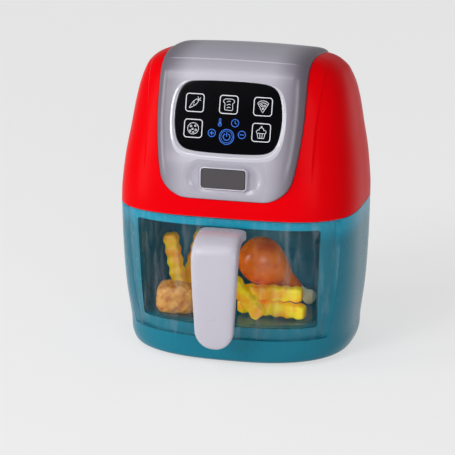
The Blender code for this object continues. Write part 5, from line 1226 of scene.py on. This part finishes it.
def ribbon(bm, path, width, lift=0.00004):
    """A flat stroke of even width along a path on the panel's face."""
    run = np.gradient(path, axis=0)
    if np.allclose(path[0], path[-1]):
        run[0] = run[-1] = path[1] - path[-2]
    run /= np.linalg.norm(run, axis=1)[:, None]
    side = np.stack([-run[:, 1], run[:, 0]], axis=1) * width / 2
    made = bmesh.ops.create_grid(bm, x_segments=len(path) - 1, y_segments=1, size=0.5)["verts"]
    for vert in made:
        index = round((vert.co.x + 0.5) * (len(path) - 1))
        x, y = path[index] + side[index] * (1 if vert.co.y > 0 else -1)
        vert.co = PANEL_FRAME @ Vector((x, y, panel_height(x, y) + lift))


def refine(path, step=0.0012):
    """The path with points no farther apart than a step, so that ribbons follow the face."""
    points = [path[0]]
    for start, end in zip(path, path[1:]):
        count = max(1, math.ceil(np.linalg.norm(end - start) / step))
        points += [start + (end - start) * index / count for index in range(1, count + 1)]
    return np.array(points)


def make_print(name, strokes, finish):
    """One piece of all strokes of a colour, facing out of the panel."""
    bm = bmesh.new()
    for path, width in strokes:
        ribbon(bm, refine(path), width)
    obj = to_object(name, bm)
    for polygon in obj.data.polygons:
        if polygon.normal.dot(PANEL_FRAME.col[2].xyz) < 0:
            polygon.flip()
    return hand_over(obj, finish, "button_panel")


WHITE_PRINT = plastic("white_print", "black_panel", tone(220, 221, 226), 0.35)
BLUE_PRINT = plastic("blue_print", "black_panel", tone(28, 110, 224), 0.35)
white = []
for x, y, picture in PICTURES:
    border = rounded_rectangle(FRAME_HALF_X, FRAME_HALF_Y, FRAME_CORNER) + np.array([x, y])
    white.append((border, 0.00055))
    white += [(stroke * PICTURE_SIZE + np.array([x, y]), 0.00036) for stroke in picture]
blue = [
    (arc(0, -0.0122, 0.0048, 0, 360, 48), 0.00045), (arc(0, -0.0122, 0.0038, 0, 360, 48), 0.00030),
    (arc(0, -0.0122, 0.0022, 122, 418, 30), 0.00055), (line((0, -0.0120), (0, -0.0094)), 0.00055),
]
for x, y in ((-0.0100, -0.0103), (0.0100, -0.0103), (0.0050, -0.0031)):
    blue.append((arc(x, y, 0.0024, 0, 360, 32), 0.00045))
blue += [
    (line((-0.0114, -0.0103), (-0.0086, -0.0103)), 0.00050),
    (line((-0.0100, -0.0117), (-0.0100, -0.0089)), 0.00050),
    (line((0.0086, -0.0103), (0.0114, -0.0103)), 0.00050),
    (line((0.0050, -0.0016), (0.0050, -0.0031)), 0.00045),
    (line((0.0050, -0.0031), (0.0060, -0.0037)), 0.00045),
    (arc(-0.0050, -0.0046, 0.0010, -240, 60, 20), 0.00045),
    (line((-0.0055, -0.0037), (-0.0055, -0.0012)), 0.00040),
    (line((-0.0045, -0.0037), (-0.0045, -0.0012)), 0.00040),
    (arc(-0.0050, -0.0012, 0.0005, 0, 180, 8), 0.00040),
    (line((-0.0050, -0.0046), (-0.0050, -0.0026)), 0.00050),
]
make_print("print_white", white, WHITE_PRINT)
make_print("print_blue", blue, BLUE_PRINT)
print("strokes:", len(white), "white,", len(blue), "blue")

# %% [markdown]
# The play food is moulded in one colour and sprayed a little darker on its high spots.
# Fries are square bars with a wave along all four sides; each lies in the tray as in the CAD model.
# Yellow plastic of this kind lets a little light in, so its shadows stay warm; a faint painted glow in the
# food's own colours lifts them further.

# %% Crinkle fries
TRAY_SIZE = (0.0563, 0.0951, 0.0590)
FRY_LENGTH, FRY_HALF, FRY_WAVE, FRY_END = 0.046, 0.00460, 0.00040, 0.0012
# Place in the tray as shares of its inside, turn and lean in degrees
FRIES = [
    ((-0.764, 0.374, 0.405), 0.0, 100.0), ((-0.604, 0.501, 0.405), 0.0, 74.0),
    ((-0.444, 0.353, 0.400), 0.0, 88.0), ((0.142, 0.075, 0.360), 0.0, 130.0),
    ((0.480, 0.206, 0.092), -6.0, 0.0), ((0.426, 0.217, 0.2645), 4.0, 0.0),
]


def in_tray(shares, turn=0.0, lean=0.0):
    """A frame in the tray, turned about the vertical and tipped up."""
    x, y, z = (share * size for share, size in zip(shares, TRAY_SIZE))
    place = Matrix.Translation((x, BODY_Y - 0.0576 + y, 0.029 + z))
    turned = place @ Matrix.Rotation(math.radians(turn), 4, "Z")
    return turned @ Matrix.Rotation(math.radians(-lean), 4, "Y")


def food(name, slot, light, dark, roughness, patch, depth):
    """Moulded food: two sprayed tones, a fine grain, a drifting gloss and a faint painted glow."""
    depths = {"Subsurface_Weight": 0.12, "Subsurface_Scale": 0.002}
    # Painted light: the food glows faintly in its own colours, to lift it in the shade of the drawer.
    finish = Finish(name, slot, IOR=1.46, Emission_Strength=0.10, **depths)
    spray = finish.mix(finish.noise(patch, 4.0).ramp(0.38, 0.66), light, dark)
    finish.set("Base Color", spray)
    finish.set("Emission Color", spray)
    finish.set("Roughness", finish.noise(0.004, 3.0) * 0.15 + roughness)
    finish.bump(finish.noise(0.0016, 4.0), depth)
    return finish


FRY = food("fry_moulded", "fry_yellow", tone(255, 212, 8), tone(255, 160, 6), 0.32, 0.010, 0.00012)


def make_fry(name, place, phase):
    """A square bar with six waves along it and softened ends."""
    angles = np.linspace(0, 2 * math.pi, 41)
    rows = []
    for share in crowded(110, 0.25):
        wave = FRY_HALF - FRY_WAVE * math.cos(2 * math.pi * 6 * share)
        end = min(share, 1 - share) * FRY_LENGTH
        half = wave - 0.0007 * (1 - min(end / FRY_END, 1.0)) ** 2
        y = half * power(np.cos(angles), 2 / 4.2) * (1 + 0.02 * math.sin(9 * share + phase))
        z = half * power(np.sin(angles), 2 / 4.2)
        x = FRY_LENGTH * (share - 0.5)
        rows.append([place @ Vector((x, a, b)) for a, b in zip(y, z)])
    return tube(name, rows)


for number, (shares, turn, lean) in enumerate(FRIES, 1):
    fry = make_fry(f"fry_{number}", in_tray(shares, turn, lean), number * 1.7)
    hand_over(fry, FRY, "drawer", f"crinkle_fry_{number}", angle=60)
print("fries:", len(FRIES), "each with", len(fry.data.polygons), "faces")

# %% [markdown]
# The drumstick is a turned form: a plump end, a neck and a pale bone with a knuckle.
# Real moulds add a few soft dents to the meat, so the turned surface gets slow waves round and along it.
# Meat and bone are two pieces, because they are two colours of plastic.
# The nugget is an uneven block, smoothed and then roughened by a few crossing waves.

# %% Drumstick and nugget
DRUM_SIZE = (0.0620, 0.0158)
NUGGET_SIZE = (0.0300, 0.0190, 0.0210)
LUMP_DENSITY, LUMP_RISE = 700, 0.00035
BONE_PROFILE = [
    (0.000, 0.0), (0.250, 0.010), (0.320, 0.055), (0.270, 0.100), (0.200, 0.140), (0.215, 0.260),
]
MEAT_PROFILE = [
    (0.150, 0.215), (0.235, 0.225), (0.290, 0.270), (0.420, 0.400), (0.720, 0.520), (0.930, 0.640),
    (1.000, 0.760), (0.900, 0.880), (0.620, 0.965), (0.300, 0.995), (0.000, 1.000),
]
DRUM_PLACE = in_tray((0.480, 0.4185, 0.388), 30.0, -40.0) @ Matrix.Rotation(-math.pi / 2, 4, "Y")


def turned(name, profile, dents):
    """A turned surface with soft dents, its axis along the drumstick."""
    path = catmull(profile, 8)
    path[:, 0] = path[:, 0].clip(0)
    rows = []
    for radius, height in path:
        row = []
        for turn in np.linspace(0, 2 * math.pi, 65):
            dent = math.sin(2 * turn + 9 * height) * 0.5 + math.sin(3 * turn - 14 * height + 1) * 0.35
            reach = radius * DRUM_SIZE[1] * (1 - dents * (1 - dent))
            spot = Vector((reach * math.cos(turn), reach * math.sin(turn), (height - 0.5) * DRUM_SIZE[0]))
            row.append(DRUM_PLACE @ spot)
        rows.append(row)
    return tube(name, rows)


MEAT = food("meat_moulded", "meat_brown", tone(240, 112, 10), tone(206, 74, 4), 0.20, 0.012, 0.00018)
BONE = food("bone_moulded", "meat_brown", tone(250, 236, 204), tone(238, 214, 170), 0.35, 0.010, 0.00008)
NUGGET = food("nugget_moulded", "meat_brown", tone(214, 142, 58), tone(180, 98, 30), 0.34, 0.005, 0.00035)
meat = turned("drumstick_meat", MEAT_PROFILE, 0.03)
hand_over(meat, MEAT, "drawer", "drumstick", angle=80)
hand_over(turned("drumstick_bone", BONE_PROFILE, 0.01), BONE, "drawer", angle=80)

bm = bmesh.new()
bmesh.ops.create_cube(bm, size=1.0)
for vert, share in zip(bm.verts, (1.00, 0.88, 0.94, 1.06, 0.90, 1.04, 1.08, 0.86)):
    vert.co *= share
bmesh.ops.subdivide_edges(bm, edges=bm.edges, cuts=1, use_grid_fill=True)
place = in_tray((-0.640, 0.170, 0.150)) @ Matrix.Diagonal((*NUGGET_SIZE, 1.0))
bmesh.ops.transform(bm, matrix=place, verts=bm.verts)
nugget = to_object("nugget_crumb", bm)
soft = nugget.modifiers.new("soft", "SUBSURF")
soft.levels = soft.render_levels = 4
bake(nugget)
for vert in nugget.data.vertices:
    x, y, z = vert.co * LUMP_DENSITY
    lump = math.sin(x) * math.sin(1.3 * y + 1) * math.sin(1.1 * z + 2)
    lump += 0.5 * math.sin(2.3 * x + y) * math.sin(2.1 * z)
    vert.co += vert.normal * lump * LUMP_RISE
hand_over(nugget, NUGGET, "drawer", "nugget", angle=80)
print("drumstick:", len(meat.data.polygons), "faces, nugget:", len(nugget.data.polygons), "faces")

# %% [markdown]
# The pieces that stay as the CAD model has them are the ones hardly seen:
# the liner, the deck, the feet and the hardware.
# Each takes the finish of its slot in the record.

# %% Finishes for the carried-over nodes
FINISHES = (
    ZINC, STEEL, BOARD, WRAP, RUBBER, DULL_BLACK, LENS, DEEP_TEAL, TEAL, RED, GREY, PALE, BLACK, CLEAR,
    FRY, MEAT,
)
SLOT_FINISHES = {finish.slot: finish for finish in FINISHES}
for part in frame["record"]["subparts"]:
    node = frame["nodes"][part["node"]]
    for holder in node.material_slots:
        holder.link = "OBJECT"
        holder.material = SLOT_FINISHES[part["material_slot"]].material

# %% [markdown]
# The toy stands on a pale floor in soft studio light.
# The key is a broad low sun from the left, and a weaker one opens the right side.
# Two tall strips draw the long highlights down the shell,
# and two small windows glint where the fascia turns over.
# An even pale surround fills the rest, so that colours come out about as they are written.
# Rays from the camera, from a gloss and through the drawer see the floor lightened,
# so it stays pale and still keeps the shadow.

# %% Camera, light and floor


def aim(azimuth, elevation):
    """The turn of a camera or light that looks at the toy from a direction."""
    azimuth, elevation = math.radians(azimuth), math.radians(elevation)
    flat = math.cos(elevation)
    back = Vector((math.sin(azimuth) * flat, -math.cos(azimuth) * flat, math.sin(elevation)))
    return back.to_track_quat("Z", "Y")


camera_data = bpy.data.cameras.new("camera")
camera = add_object("camera", camera_data)
camera.location = (0.3870, -1.4808, 0.5341)
camera.rotation_mode = "QUATERNION"
camera.rotation_quaternion = aim(15.0, 16.5)
camera_data.sensor_width = 36.0
camera_data.sensor_fit = "HORIZONTAL"
camera_data.lens = 189.89
bpy.context.scene.camera = camera


def lamp(name, kind, azimuth, elevation, energy, distance=0.0):
    """A light of some kind that shines on the toy from a direction. Returns its settings."""
    data = bpy.data.lights.new(name, kind)
    data.energy = energy
    turn = aim(azimuth, elevation)
    obj = add_object(name, data)
    obj.rotation_mode = "QUATERNION"
    obj.rotation_quaternion = turn
    obj.location = Vector((0, 0, 0.1)) + turn @ Vector((0, 0, distance))
    return data


for name, azimuth, elevation, strength, spread in (("key", -30, 26, 1.00, 25), ("fill", 25, 14, 0.26, 15)):
    lamp(name, "SUN", azimuth, elevation, strength).angle = math.radians(spread)
for name, azimuth, elevation, distance, width, height, watts in (
    ("window_left", -21, 50, 1.4, 0.10, 0.12, 0.9),
    ("window_right", -9, 38, 1.4, 0.10, 0.12, 0.9),
    ("strip_left", -60, 13, 1.3, 0.30, 0.72, 5.6),
    ("strip_right", 36, 13, 1.3, 0.20, 0.60, 2.3),
):
    area = lamp(name, "AREA", azimuth, elevation, watts, distance)
    area.shape, area.size, area.size_y = "RECTANGLE", width, height

bm = bmesh.new()
bmesh.ops.create_grid(bm, x_segments=1, y_segments=1, size=6.0)
floor = to_object("floor", bm)
FLOOR = Finish("pale_floor", None, Roughness=0.9, Specular_IOR_Level=0.1)
FLOOR.set("Base Color", FLOOR.mix(FLOOR.noise(0.05), tone(246, 246, 247), tone(243, 243, 244)))
rays = FLOOR.node("LightPath")
seen = [Value(FLOOR, rays.outputs[f"Is {kind} Ray"]) for kind in ("Camera", "Glossy", "Transmission")]
glow = FLOOR.node("Emission", None, {"Color": tone(250, 250, 250)})
share = (seen[0] + seen[1] + seen[2]) * 0.62
bright = FLOOR.node("MixShader", None, {0: share, 1: FLOOR.shader.outputs[0], 2: glow.outputs[0]})
FLOOR.feed(FLOOR.tree.nodes["Material Output"].inputs["Surface"], bright.outputs[0])
floor.data.materials.append(FLOOR.material)

world = bpy.data.worlds.new("world")
bpy.context.scene.world = world
world.use_nodes = True
tree = world.node_tree
backdrop = tree.nodes["Background"]
backdrop.inputs["Color"].default_value = tone(252, 252, 253)
backdrop.inputs["Strength"].default_value = 0.34
distant = tree.nodes.new("ShaderNodeBackground")
distant.inputs["Color"].default_value = tone(246, 246, 247)
by_ray = tree.nodes.new("ShaderNodeMixShader")
tree.links.new(tree.nodes.new("ShaderNodeLightPath").outputs["Is Camera Ray"], by_ray.inputs[0])
tree.links.new(backdrop.outputs[0], by_ray.inputs[1])
tree.links.new(distant.outputs[0], by_ray.inputs[2])
tree.links.new(by_ray.outputs[0], tree.nodes["World Output"].inputs["Surface"])
bpy.context.scene.view_settings.view_transform = "Standard"
